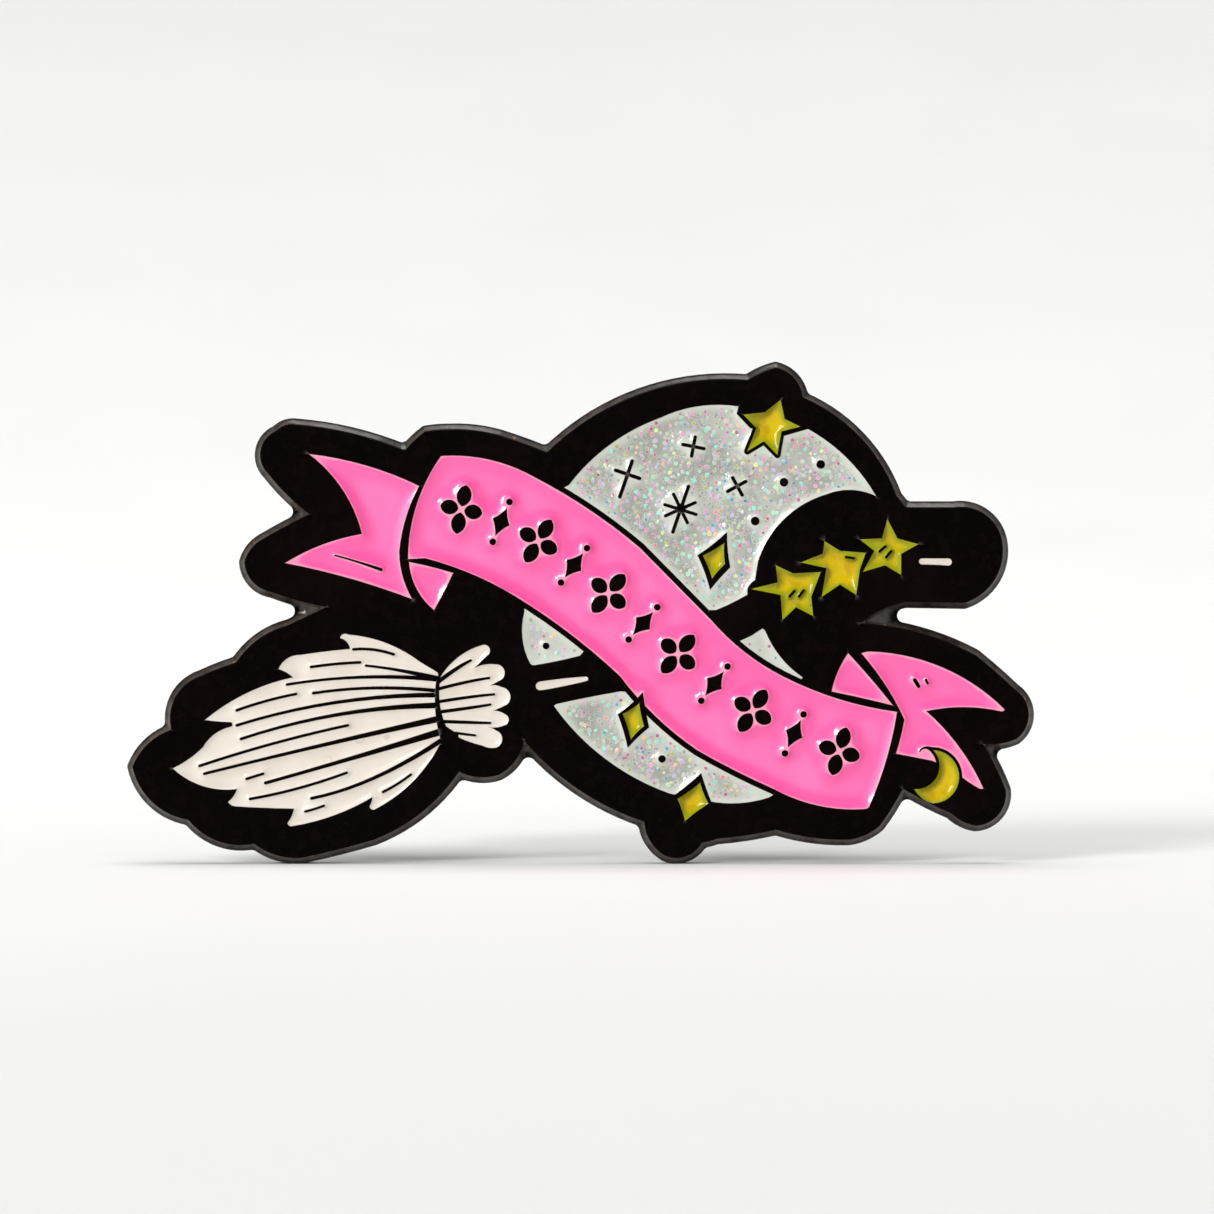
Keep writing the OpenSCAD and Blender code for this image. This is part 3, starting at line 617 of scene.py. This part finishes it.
def spun(rows, looped):
    """The skin over a table of points: a row for each step of the turn, a column for each point of
    the profile, whose last point meets its first if it is looped. Corners on the axis fall
    together, and the triangles that this leaves without an area are dropped."""
    turns, width = rows.shape[:2]
    i, j = np.meshgrid(np.arange(turns), np.arange(width - (not looped)), indexing="ij")
    n, m = (i + 1) % turns, (j + 1) % width
    quads = np.stack([i * width + j, i * width + m, n * width + m, n * width + j], 2)
    corners, triangles, _ = welded([(rows.reshape(-1, 3), quads.reshape(-1, 4))])
    return corners, triangles[np.linalg.norm(crosses(corners, triangles), axis=1) > NO_AREA]


def turned(profile, centre, bend=None):
    """A profile of (radius, height) points turned round the y axis through the centre (x, z), as a
    closed skin, or as a ring if the profile starts off the axis. bend gives the change of height
    at an angle, a radius and a height."""
    profile = np.array(profile, float)
    angle = np.linspace(0, 2 * math.pi, TURNS, endpoint=False)[:, None]
    radius, height = (np.broadcast_to(profile[:, k], (TURNS, len(profile))) for k in (0, 1))
    if bend:
        height = height + bend(angle, radius, height)
    corners, triangles = spun(np.stack([
        centre[0] + radius * np.cos(angle), height, centre[1] + radius * np.sin(angle)], 2),
        looped=profile[0, 0] > 0)
    return corners, triangles if volume_of(corners, triangles) > 0 else triangles[:, ::-1]


def turned_pair(part, node, profile, body, slot, smooth_deg, bend=None):
    """The same turned piece at both posts. An asterisk in the body's name stands for the side."""
    return [piece(f"{s}_{part}_skin", *turned(profile, at, bend), body.replace("*", s), slot,
                  [f"{s}_{node}"], smooth_deg) for s, at in pocket_at.items()]


POST_R, FOOT_R, FOOT_TOP, TIP = 0.6, 1.6, 0.15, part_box("left_post")[1].y / MM
GROOVE_R, POINT_R, POST_EDGE_MM = POST_R - 0.18, 0.12, 0.06
FROM_TIP = [(POST_R, 2.9), (GROOVE_R, 2.88), (GROOVE_R, 2.32), (POST_R, 2.3), (POST_R, 1.2),
            (POINT_R, 0.08), (0, 0)]  # the groove and the point: radius, distance from the tip
post_profile = rounded([
    (0, POCKET_FLOOR), (FOOT_R, POCKET_FLOOR), (FOOT_R, FOOT_TOP), (POST_R, FOOT_TOP),
    *[(r, TIP - far) for r, far in FROM_TIP]], POST_EDGE_MM)
posts = turned_pair("post", "post", post_profile, "pin", "plated_steel", 50)
print(f"posts: {len(posts[0].data.polygons)} triangles each")

# %% [markdown]
# Solder freezes with a shrunken, lumpy skin, so its turned ring is pushed in and out by a few waves
# that run round the post.

# %% Solder rings
LAP_MM, LUMP_MM, SHRINK_MM = 0.05, 0.016, 0.012
GRIP_MM, LUMPS_BEGIN_MM = 0.03, 0.15  # the skin has no lumps at the pocket's wall and floor
solder_profile = rounded([
    (FOOT_R - LAP_MM, POCKET_FLOOR), (POCKET_MM, POCKET_FLOOR), (POCKET_MM, POCKET_FLOOR + 0.04),
    (FOOT_R + 0.2, -0.09), (FOOT_R + LAP_MM, 0.03), (FOOT_R - LAP_MM, 0.05)], 0.05, 6)


def lumps(angle, radius, height):
    """Waves round the ring: sines of five, eight and thirteen turns, on the open skin only."""
    free = np.clip((height - POCKET_FLOOR) / LUMPS_BEGIN_MM, 0, 1) * (radius < POCKET_MM - GRIP_MM)
    wave = np.sin(5 * angle + 1) + 0.7 * np.sin(8 * angle + 2.4) + 0.4 * np.sin(13 * angle)
    return free * (LUMP_MM * wave - SHRINK_MM)


solders = turned_pair("solder", "solder", solder_profile, "pin", "solder", 70, lumps)
print(f"solder: {len(solders[0].data.polygons)} triangles each")

# %% [markdown]
# The clutch disc is pressed from thin sheet, with its rim rolled over so that it does not cut
# cloth, and eight shallow dents that keep it from turning.

# %% Clutch discs
disc_from, disc_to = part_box("left_clutch_base")
DISC_LOW, DISC_R = disc_from.y / MM, (disc_to.x - disc_from.x) / 2 / MM
ROLL_MM, SHEET_MM, BORE_MM = 0.4, 0.35, 0.75
COLLAR_TOP, EASE_MM = DISC_LOW + 0.75, 0.06  # the collar's end and its eased corners
DENTS, DENT_MM, DENT_DEPTH_MM, DENT_SPREAD = 8, 4.1, 0.1, 0.18


def disc_profile():
    """The disc's section from its bore: along the underside, round the circle of the rolled rim,
    back along the top, and up and over the collar."""
    roll = np.linspace(-0.5 * math.pi, 0.8 * math.pi, 15)
    mid = DISC_R - ROLL_MM
    rim = np.stack([mid + ROLL_MM * np.cos(roll), DISC_LOW + ROLL_MM + ROLL_MM * np.sin(roll)], 1)
    under = [(r, DISC_LOW) for r in np.linspace(BORE_MM, mid, 16)[:-1]]
    over = [(r, DISC_LOW + SHEET_MM) for r in np.linspace(mid - 0.3, BORE_MM + SHEET_MM, 15)]
    collar_r = BORE_MM + SHEET_MM
    collar = [(collar_r, COLLAR_TOP - EASE_MM), (collar_r - EASE_MM, COLLAR_TOP),
              (BORE_MM + EASE_MM, COLLAR_TOP), (BORE_MM, COLLAR_TOP - EASE_MM)]
    return np.concatenate([under, rim, over, collar])


def dents(angle, radius, height):
    """Shallow round dents in the top face of the sheet, between its collar and its rolled rim: each
    sinks by a bell curve of the distance from its centre."""
    turn = (angle * DENTS / (2 * math.pi)) % 1 - 0.5
    apart = (turn / DENTS * 2 * math.pi * DENT_MM) ** 2 + (radius - DENT_MM) ** 2
    on_sheet = (radius < DISC_R - ROLL_MM - 0.2) & (radius > BORE_MM + SHEET_MM + 0.1)
    upper = on_sheet & (height > DISC_LOW + SHEET_MM / 2)
    return -DENT_DEPTH_MM * np.exp(-apart / DENT_SPREAD) * upper


discs = turned_pair("clutch_disc", "clutch_base", disc_profile(), "*_clutch_disc", "plated_brass",
                    50, dents)
print(f"discs: {len(discs[0].data.polygons)} triangles each")

# %% [markdown]
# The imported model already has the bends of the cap, the wings and the spring. Each gets a copy
# merged into one skin, and the Bevel modifier breaks the cut edges, because stamped sheet is
# tumbled smooth before plating.

# %% Finished copies of the sheet parts
MERGE_MM, FLAT_DEG, SHARP_DEG = 2e-4, 1, 35


def finished_copy(node, body, slot, bevel_mm):
    """A merged copy of a CAD node with its flat faces joined and its sharp edges bevelled."""
    made = piece(node + "_skin", *mesh_arrays(node), body, slot, [node], SHARP_DEG)
    shape = bmesh.new()
    shape.from_mesh(made.data)
    bmesh.ops.remove_doubles(shape, verts=shape.verts, dist=MERGE_MM * MM)
    bmesh.ops.dissolve_limit(
        shape, angle_limit=math.radians(FLAT_DEG), verts=shape.verts, edges=shape.edges)
    bmesh.ops.recalc_face_normals(shape, faces=shape.faces)
    shape.to_mesh(made.data)
    shape.free()
    made.data.shade_smooth()
    if bevel_mm:
        bevel = made.modifiers.new("tumbled edges", "BEVEL")
        bevel.width, bevel.segments, bevel.limit_method = bevel_mm * MM, 2, "ANGLE"
        bevel.angle_limit, bevel.harden_normals = math.radians(SHARP_DEG), True
        bevel.use_clamp_overlap = True
    return made


COPIES = [  # node, body, slot, bevel mm
    ("clutch_cap", "clutch_body", "plated_brass", 0.06),
    ("wing_inner", "wing_in", "plated_brass", 0.05),
    ("wing_outer", "wing_out", "plated_brass", 0.05),
    ("clutch_spring", "clutch_body", "spring_wire", 0)]
copies = [finished_copy(f"{s}_{n}", f"{s}_{b}", m, w) for s in pocket_at for n, b, m, w in COPIES]
springs = [o for o in copies if "spring" in o.name]
print("copies:", ", ".join(f"{o.name} {len(o.data.polygons)}" for o in copies))

# %% [markdown]
# ## Writing materials as sums
# A material is a net of small operations. Written as arithmetic it reads like the idea behind it,
# so one class wraps a socket and turns + - and * into Math nodes. Everything else, such as a noise
# or a bump, comes from one method that names the node and fills its sockets.

# %% Shader arithmetic
class Value:
    """One socket of a material, with arithmetic."""

    def __init__(self, paint, socket):
        self.paint, self.socket = paint, socket

    def _math(self, operation, a, b):
        return self.paint.node("Math", {"operation": operation}, {0: a, 1: b})

    def __add__(self, other):
        return self._math("ADD", self, other)

    def __sub__(self, other):
        return self._math("SUBTRACT", self, other)

    def __rsub__(self, other):
        return self._math("SUBTRACT", other, self)

    def __mul__(self, other):
        return self._math("MULTIPLY", self, other)

    __radd__, __rmul__ = __add__, __mul__


class Paint:
    """A material with one Principled shader, whose fixed settings are given by name."""

    def __init__(self, name, **fixed):
        self.material = bpy.data.materials.new(name)
        self.material.use_nodes = True
        self.tree = self.material.node_tree
        self.shader = self.tree.nodes["Principled BSDF"]
        for label, value in fixed.items():
            self.shader.inputs[label.replace("_", " ")].default_value = value
        place = self.node("TexCoord", output="Object")
        self.mm = self.node("VectorMath", {"operation": "SCALE"}, {0: place, "Scale": 1 / MM})

    def join(self, value, socket):
        """A number or colour is set on the socket, and a Value is linked to it."""
        if isinstance(value, Value):
            self.tree.links.new(value.socket, socket)
        elif hasattr(value, "__len__") and len(value) == 3 and socket.type == "RGBA":
            socket.default_value = (*value, 1)
        else:
            socket.default_value = value

    def node(self, kind, settings=(), inputs=(), output=0):
        """A node of the kind, with its settings set first and then its sockets filled."""
        made = self.tree.nodes.new("ShaderNode" + kind)
        for label, value in dict(settings).items():
            setattr(made, label, value)
        for key, value in dict(inputs).items():
            self.join(value, made.inputs[key])
        return Value(self, made.outputs[output])

    def noise(self, size_mm, detail, stretch=None):
        """A noise between 0 and 1 with lumps about size_mm across, stretched along the axes."""
        where = self.mm
        if stretch:
            where = self.node("Mapping", {}, {"Vector": self.mm, "Scale": stretch})
        return self.node("TexNoise", {}, {"Vector": where, "Scale": 1 / size_mm, "Detail": detail})

    def cells(self, size_mm, output="Distance"):
        """Cells about size_mm across: the distance from a cell's middle, or a colour for each."""
        return self.node("TexVoronoi", {}, {"Vector": self.mm, "Scale": 1 / size_mm}, output)

    def step(self, value, low, high, to_low=0.0, to_high=1.0):
        """A smooth climb from to_low to to_high while the value goes from low to high."""
        return self.node("MapRange", {"interpolation_type": "SMOOTHSTEP"},
                         {"Value": value, 1: low, 2: high, 3: to_low, 4: to_high})

    def layers(self, colour, *coats):
        """A colour under coats: each is a share and the colour that the coat turns it into."""
        for share, tint in coats:
            colour = self.node("Mix", {"data_type": "RGBA"}, {0: share, 6: colour, 7: tint}, 2)
        return colour

    def attribute(self, label, output="Fac"):
        """What the mesh stores at the surface point."""
        return self.node("Attribute", {"attribute_name": label}, output=output)

    def axis(self, number):
        """One coordinate of the surface point, in millimetres."""
        return self.node("SeparateXYZ", {}, {0: self.mm}, number)

    def facing(self, direction):
        """How far the enamel leans a way: the dot product of its lean with that direction."""
        inputs = {0: self.attribute("lean", "Vector"), 1: direction}
        return self.node("VectorMath", {"operation": "DOT_PRODUCT"}, inputs, "Value")

    def bump(self, height, depth_mm, under=None):
        """A bump whose height of 1 stands depth_mm proud, over an earlier bump."""
        inputs = {"Height": height, "Distance": depth_mm * MM, "Strength": 1.0}
        return self.node("Bump", {}, inputs | ({"Normal": under} if under else {}))

    def finish(self, colour, rough, normal, **more):
        """Joins what varies to the shader."""
        varied = {"Base_Color": colour, "Roughness": rough, "Normal": normal, **more}
        for label, value in varied.items():
            self.join(value, self.shader.inputs[label.replace("_", " ")])
        print(f"{self.material.name}: {len(self.tree.nodes)} nodes")
        return self.material


def painted(material, *objects):
    """Gives the objects one material."""
    for made in objects:
        made.data.materials.clear()
        made.data.materials.append(material)


# %% [markdown]
# ## Black dyed metal
# The sheet is plated and then dyed black, which leaves a glassy, nearly black face with fine
# scratches, small pits and a fine orange peel. The shoulders and the sloping edge are painted grey:
# partly the dye rubbed thin by the punch and the tumbling, with a few chips down to copper, and
# partly a painted reflection of the pale surroundings, which the dye's low shine leaves out. The
# high spots of the orange peel are painted a little lighter, a painted sheen. The back is stippled,
# because a fine grain hides the marks that a flat back would show.

# %% Black metal
EDGE_GREY_AND_SHEEN, DYE_BLACK, COPPER = linear(74, 66, 60), (0.0012, 0.0003, 0.0002), linear(150, 92, 60)
FACE_ENDS_MM, BACK_BEGINS_MM = (-1.37, -1.33), (-0.04, -0.005)  # heights of the two changes
black = Paint("black_dyed_metal", Specular_IOR_Level=0.026, Coat_Roughness=0.14)
wear, y = black.attribute("wear"), black.axis(1)
below_face, back_face = black.step(y, *FACE_ENDS_MM), black.step(y, *BACK_BEGINS_MM)
peel_and_sheen, grain = black.noise(0.55, 3), black.noise(0.09, 2)
scratches = black.step(black.noise(0.16, 1, (0.12, 1, 1)), 0.66, 0.72) + black.step(
    black.noise(0.14, 1, (1, 1, 0.1)), 0.68, 0.74)
pits = 1 - black.step(black.cells(1.6), 0.02, 0.06)
# Rubbed dye and painted reflection: the shoulders and the sloping edge are painted grey.
rubbed_and_sheen = black.step(wear + 0.5 * (black.noise(0.5, 3) - 0.5), 0.25, 1.0) * below_face
chip = black.step(black.noise(0.35, 2) + 0.16 * wear * below_face, 0.86, 0.89)
colour = black.layers(
    DYE_BLACK, (rubbed_and_sheen, EDGE_GREY_AND_SHEEN),
    (0.6 * black.step(black.noise(5, 2), 0.45, 0.7), (0.0034, 0.0014, 0.0008)),
    # Painted sheen: the high spots of the orange peel are painted a little lighter.
    (0.5 * black.step(peel_and_sheen, 0.5, 0.62), (0.004, 0.0017, 0.001)),
    (chip, COPPER), (0.5 * back_face, (0.011, 0.009, 0.0085)))
stipple = black.step(black.cells(0.42), 0.1, 0.5) * back_face
normal = black.bump(peel_and_sheen, 0.012, black.bump(grain, 0.0012, black.bump(scratches - pits, 0.0015)))
normal = black.bump(stipple, 0.035, normal)
rough = black.step(black.noise(2.4, 3), 0.3, 0.8, 0.13, 0.26) + 0.22 * rubbed_and_sheen + 0.1 * scratches
painted(black.finish(colour, rough, normal, Coat_Weight=0.8 * rubbed_and_sheen + 0.4 * back_face), plate)

# %% [markdown]
# ## Coloured enamel
# Cured enamel is opaque and very smooth, with a slow waviness from the way it set. Where it thins
# against a wall it lets the light through and looks paler; where it is deep its colour is full.
# Each colour adds its own flaws: dust, brown baking stains in the white, and a greenish cast where
# the yellow thins over the metal. Painted shade and highlight are added too: the middles of the
# pink slopes are painted deeper, slopes that lean away from the lamp at the left are painted darker
# in the pink and the yellow, and pink slopes that lean towards it are painted paler.

# %% Pink enamel
pink = Paint("pink_enamel_gloss", Specular_IOR_Level=0.5, Coat_Weight=0.5, Coat_Roughness=0.3)
climb = pink.attribute("climb")
slow, fine = pink.noise(3.2, 2), pink.noise(0.7, 3)
# Painted shade: the middles of the slopes are painted a deeper magenta.
sloping_shade = pink.step(climb, 0.2, 0.5) * (1 - pink.step(climb, 0.8, 0.97))
dust = pink.step(pink.cells(1.9), 0.035, 0.02)
colour = pink.layers(
    (0.93, 0.135, 0.42), (pink.step(slow, 0.35, 0.7), (0.95, 0.165, 0.46)),
    (0.45 * sloping_shade, (0.86, 0.05, 0.29)),
    # Painted shade on slopes that lean right, away from the lamp at the left, and a painted
    # highlight, paler, on slopes that lean left towards it.
    (0.6 * pink.step(pink.facing((0.9, 0, 0.3)), 0.06, 0.5), (0.84, 0.035, 0.25)),
    (0.5 * pink.step(pink.facing((-0.8, 0, 0.3)), 0.1, 0.5), (0.98, 0.32, 0.6)),
    (0.5 * pink.step(climb + 0.25 * (fine - 0.5), 0.86, 1.0), (0.86, 0.5, 0.5)),
    (0.6 * dust * pink.step(fine, 0.5, 0.6), (0.62, 0.05, 0.2)))
normal = pink.bump(slow, 0.05, pink.bump(fine, 0.006, pink.bump(pink.noise(0.2, 2), 0.0012)))
rough = pink.step(pink.noise(1.8, 3), 0.3, 0.8, 0.07, 0.13) + 0.25 * dust
pink.finish(colour, rough, normal)

# %% White enamel
white = Paint("white_enamel_gloss", Specular_IOR_Level=0.5, Coat_Weight=0.3, Coat_Roughness=0.3)
climb = white.attribute("climb")
slow, fine = white.noise(2.2, 3), white.noise(0.5, 3)
spot = white.cells(1.7)
ring = white.step(spot, 0.1, 0.13) * white.step(spot, 0.18, 0.14)
stain = white.step(spot, 0.05, 0.03) + 0.35 * ring * white.step(white.noise(5, 1), 0.5, 0.6)
colour = white.layers(
    (0.75, 0.70, 0.62), (white.step(slow, 0.35, 0.7), (0.70, 0.64, 0.55)),
    (0.3 * white.step(climb + 0.3 * (fine - 0.5), 0.9, 1.05), (0.42, 0.35, 0.29)),
    (0.7 * stain, (0.3, 0.19, 0.11)))
normal = white.bump(slow, 0.03, white.bump(fine, 0.008, white.bump(ring, 0.004)))
white.finish(colour, white.step(fine, 0.3, 0.8, 0.14, 0.26), normal)

# %% Yellow enamel
yellow = Paint("yellow_enamel_gloss", Specular_IOR_Level=0.22)
climb = yellow.attribute("climb")
slow, fine = yellow.noise(1.1, 2), yellow.noise(0.4, 3)
amber = 1 - yellow.step(climb + 0.35 * (slow - 0.5), 0.4, 0.85)
streak = yellow.step(yellow.noise(0.8, 3), 0.48, 0.62)
colour = yellow.layers(
    (0.30, 0.32, 0.002), (amber, (0.63, 0.45, 0.0005)),
    (0.55 * amber * streak, (0.47, 0.25, 0.0005)),
    # Painted shade: slopes that lean right and down, away from the lamps, are painted dark olive.
    (0.85 * yellow.step(yellow.facing((0.75, 0, -0.6)), 0.05, 0.45), (0.22, 0.19, 0.0005)),
    (yellow.step(yellow.cells(1.3), 0.04, 0.02), (0.1, 0.05, 0.001)))
normal = yellow.bump(slow, 0.03, yellow.bump(fine, 0.006))
yellow.finish(colour, yellow.step(fine, 0.3, 0.8, 0.06, 0.14), normal)

# %% [markdown]
# ## Glitter enamel
# The resin round the flakes is a cloudy grey-green. Flakes deeper down show only as soft rings, so
# the colour has a fine net of cells, each with a faint tint and a paler edge, under the flakes.
# Where the resin climbs the walls and islands it is painted paler: partly thinner resin, and partly
# a painted highlight of the lamps.

# %% Glitter resin and flakes
resin = Paint("glitter_resin", Specular_IOR_Level=0.5, Coat_Weight=0.6, Coat_Roughness=0.25)
climb = resin.attribute("climb")
slow, fine = resin.noise(1.6, 3), resin.noise(0.35, 3)
deep, tint = resin.cells(0.27), resin.cells(0.27, "Color")
ring = resin.step(deep, 0.28, 0.36) * resin.step(deep, 0.5, 0.42)
sparse = resin.step(resin.noise(0.9, 2), 0.42, 0.6) * (1 - resin.step(climb, 0.35, 0.75))
colour = resin.layers(
    (0.31, 0.325, 0.285), (resin.step(slow, 0.35, 0.7), (0.45, 0.465, 0.415)),
    (0.3 * sparse * resin.step(deep, 0.36, 0.3), tint),
    (0.7 * sparse * ring, (0.63, 0.64, 0.57)),
    # Paler where the resin climbs the walls and islands: partly thinner resin, partly a painted
    # highlight.
    (0.75 * resin.step(climb + 0.2 * (fine - 0.5), 0.3, 0.85), (0.66, 0.68, 0.6)))
normal = resin.bump(slow, 0.12, resin.bump(fine, 0.035, resin.bump(sparse * ring, 0.015)))
resin.finish(colour, resin.step(fine, 0.3, 0.8, 0.14, 0.28), normal)

film = Paint("glitter_film", Specular_IOR_Level=0.6)
cloud = film.noise(0.3, 2)
colour = film.layers(
    film.attribute("tint", "Color"), (0.3 * film.step(cloud, 0.4, 0.7), (0.5, 0.5, 0.46)))
rough = film.step(cloud, 0.3, 0.7, 0.12, 0.24)
painted(film.finish(colour, rough, film.bump(cloud, 0.004)), glitter)
paints = {"pink": pink, "white": white, "yellow": yellow, "glitter": resin}
for node, made in enamels.items():
    painted(paints[slot_of(node).removesuffix("_enamel")].material, made)

# %% [markdown]
# ## Nickel, spring wire and solder
# The posts are nickel-plated steel and the clutches nickel over brass: bright, with drawing lines
# from the tools, cloudy finger marks, and a warmer tone where the plate is thin. The spring keeps
# the long marks of the die it was drawn through. Solder is dull, with a frozen, crystalline skin.

# %% Bare metals
def plated(name, bright, warm, lines, rough):
    """Plated metal: lines is the stretch of its tool marks, and warm shows in worn patches."""
    metal = Paint(name, Metallic=1.0)
    marks, cloud = metal.noise(0.12, 3, lines), metal.noise(1.4, 3)
    nicks = metal.step(metal.noise(0.25, 1, (1, 0.2, 0.5)), 0.7, 0.76)
    tone = metal.layers(
        bright, (metal.step(cloud, 0.4, 0.75), warm), (0.4 * nicks, (0.25, 0.23, 0.2)))
    skin = metal.bump(marks, 0.002, metal.bump(cloud, 0.008, metal.bump(nicks, -0.004)))
    dull = metal.step(cloud + 0.4 * (marks - 0.5), 0.25, 0.85, rough, rough + 0.16)
    return metal.finish(tone, dull, skin)


painted(plated("nickel_on_steel", (0.60, 0.585, 0.55), (0.5, 0.47, 0.42), (1, 0.08, 1), 0.2),
        *posts)
painted(plated("nickel_on_brass", (0.66, 0.64, 0.59), (0.6, 0.53, 0.41), (0.12, 1, 0.6), 0.17),
        *discs, *[o for o in copies if o not in springs])
painted(plated("drawn_wire", (0.42, 0.41, 0.4), (0.33, 0.31, 0.29), (0.05, 1, 1), 0.24), *springs)
tin = Paint("tin_solder", Metallic=1.0)
grainy, flux = tin.cells(0.3), tin.noise(0.8, 4)
colour = tin.layers((0.5, 0.5, 0.49), (tin.step(flux, 0.45, 0.7), (0.3, 0.26, 0.19)))
normal = tin.bump(grainy, 0.012, tin.bump(flux, 0.02))
painted(tin.finish(colour, tin.step(flux, 0.3, 0.7, 0.32, 0.55), normal), *solders)

# %% [markdown]
# ## The table, the light and the camera
# The pin stands on one pale sheet that rises all round it, so that no edge shows. A large
# soft box hangs to the left and above, so that every slope facing it flashes. Another hangs
# overhead and gives the soft shadow underneath, and a weak one fills in from the right.

# %% Table
LEVEL_MM, OUT_MM, UP_MM, CURVE = 130, 760, 250, 2.2  # the sheet's level middle and its rise
TABLE_TURNS, TABLE_RINGS = 96, 26
rise = np.linspace(0, 1, TABLE_RINGS)
out, up = np.append(0, LEVEL_MM + OUT_MM * rise), np.append(0, UP_MM * rise**CURVE)
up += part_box("base_plate")[0].z / MM
angle = np.linspace(0, 2 * math.pi, TABLE_TURNS, endpoint=False)[:, None]
sheet = shaped("table", *spun(np.stack([
    out * np.cos(angle), out * np.sin(angle), np.broadcast_to(up, (TABLE_TURNS, len(up)))], 2),
    looped=False))
paper = Paint("pale_sheet", Specular_IOR_Level=0.1)
mottle = paper.noise(60, 3)
colour = paper.layers((0.80, 0.802, 0.795), (mottle, (0.83, 0.832, 0.825)))
rough, normal = paper.step(mottle, 0.3, 0.7, 0.7, 0.85), paper.bump(paper.noise(0.5, 3), 0.01)
painted(paper.finish(colour, rough, normal), sheet)

# %% Light and camera
LIGHTS = {  # name: (size m, power W, place m, aim m)
    "left_softbox": (0.42, 10.4, (-0.78, -0.85, 0.56), (0, 0, 0)),
    "top_softbox": (1.10, 9.2, (-0.09, -0.03, 1.40), (0, 0, 0)),
    "right_fill": (0.80, 1.2, (1.0, -0.80, 0.50), (0, 0, 0)),
    "background_wash": (0.60, 1.5, (0.0, 0.10, 0.50), (0, 0.85, 0.15)),
}
WORLD_TINT, WORLD_LIGHT = (1.0, 1.0, 0.99, 1), 0.31
CAMERA_MM, LENS_MM, SENSOR_MM = (1.35, -170.0, 0.35), 100, 36
for name, (size, power, place, aim) in LIGHTS.items():
    lamp = bpy.data.lights.new(name, "AREA")
    lamp.shape, lamp.size, lamp.energy = "SQUARE", size, power
    holder = placed(name, lamp)
    holder.location = place
    holder.rotation_euler = (Vector(aim) - Vector(place)).to_track_quat("-Z", "Y").to_euler()
world = bpy.data.worlds.new("studio")
world.use_nodes = True
glow = world.node_tree.nodes["Background"].inputs
glow["Color"].default_value, glow["Strength"].default_value = WORLD_TINT, WORLD_LIGHT
bpy.context.scene.world = world
bpy.context.scene.view_settings.view_transform = "Standard"
lens = bpy.data.cameras.new("camera")
lens.lens, lens.sensor_width, lens.clip_start = LENS_MM, SENSOR_MM, 0.01
camera = placed("camera", lens)
camera.location = Vector(CAMERA_MM) * MM
camera.rotation_euler = (math.pi / 2, 0, 0)
bpy.context.scene.camera = camera
print("lights:", ", ".join(LIGHTS))
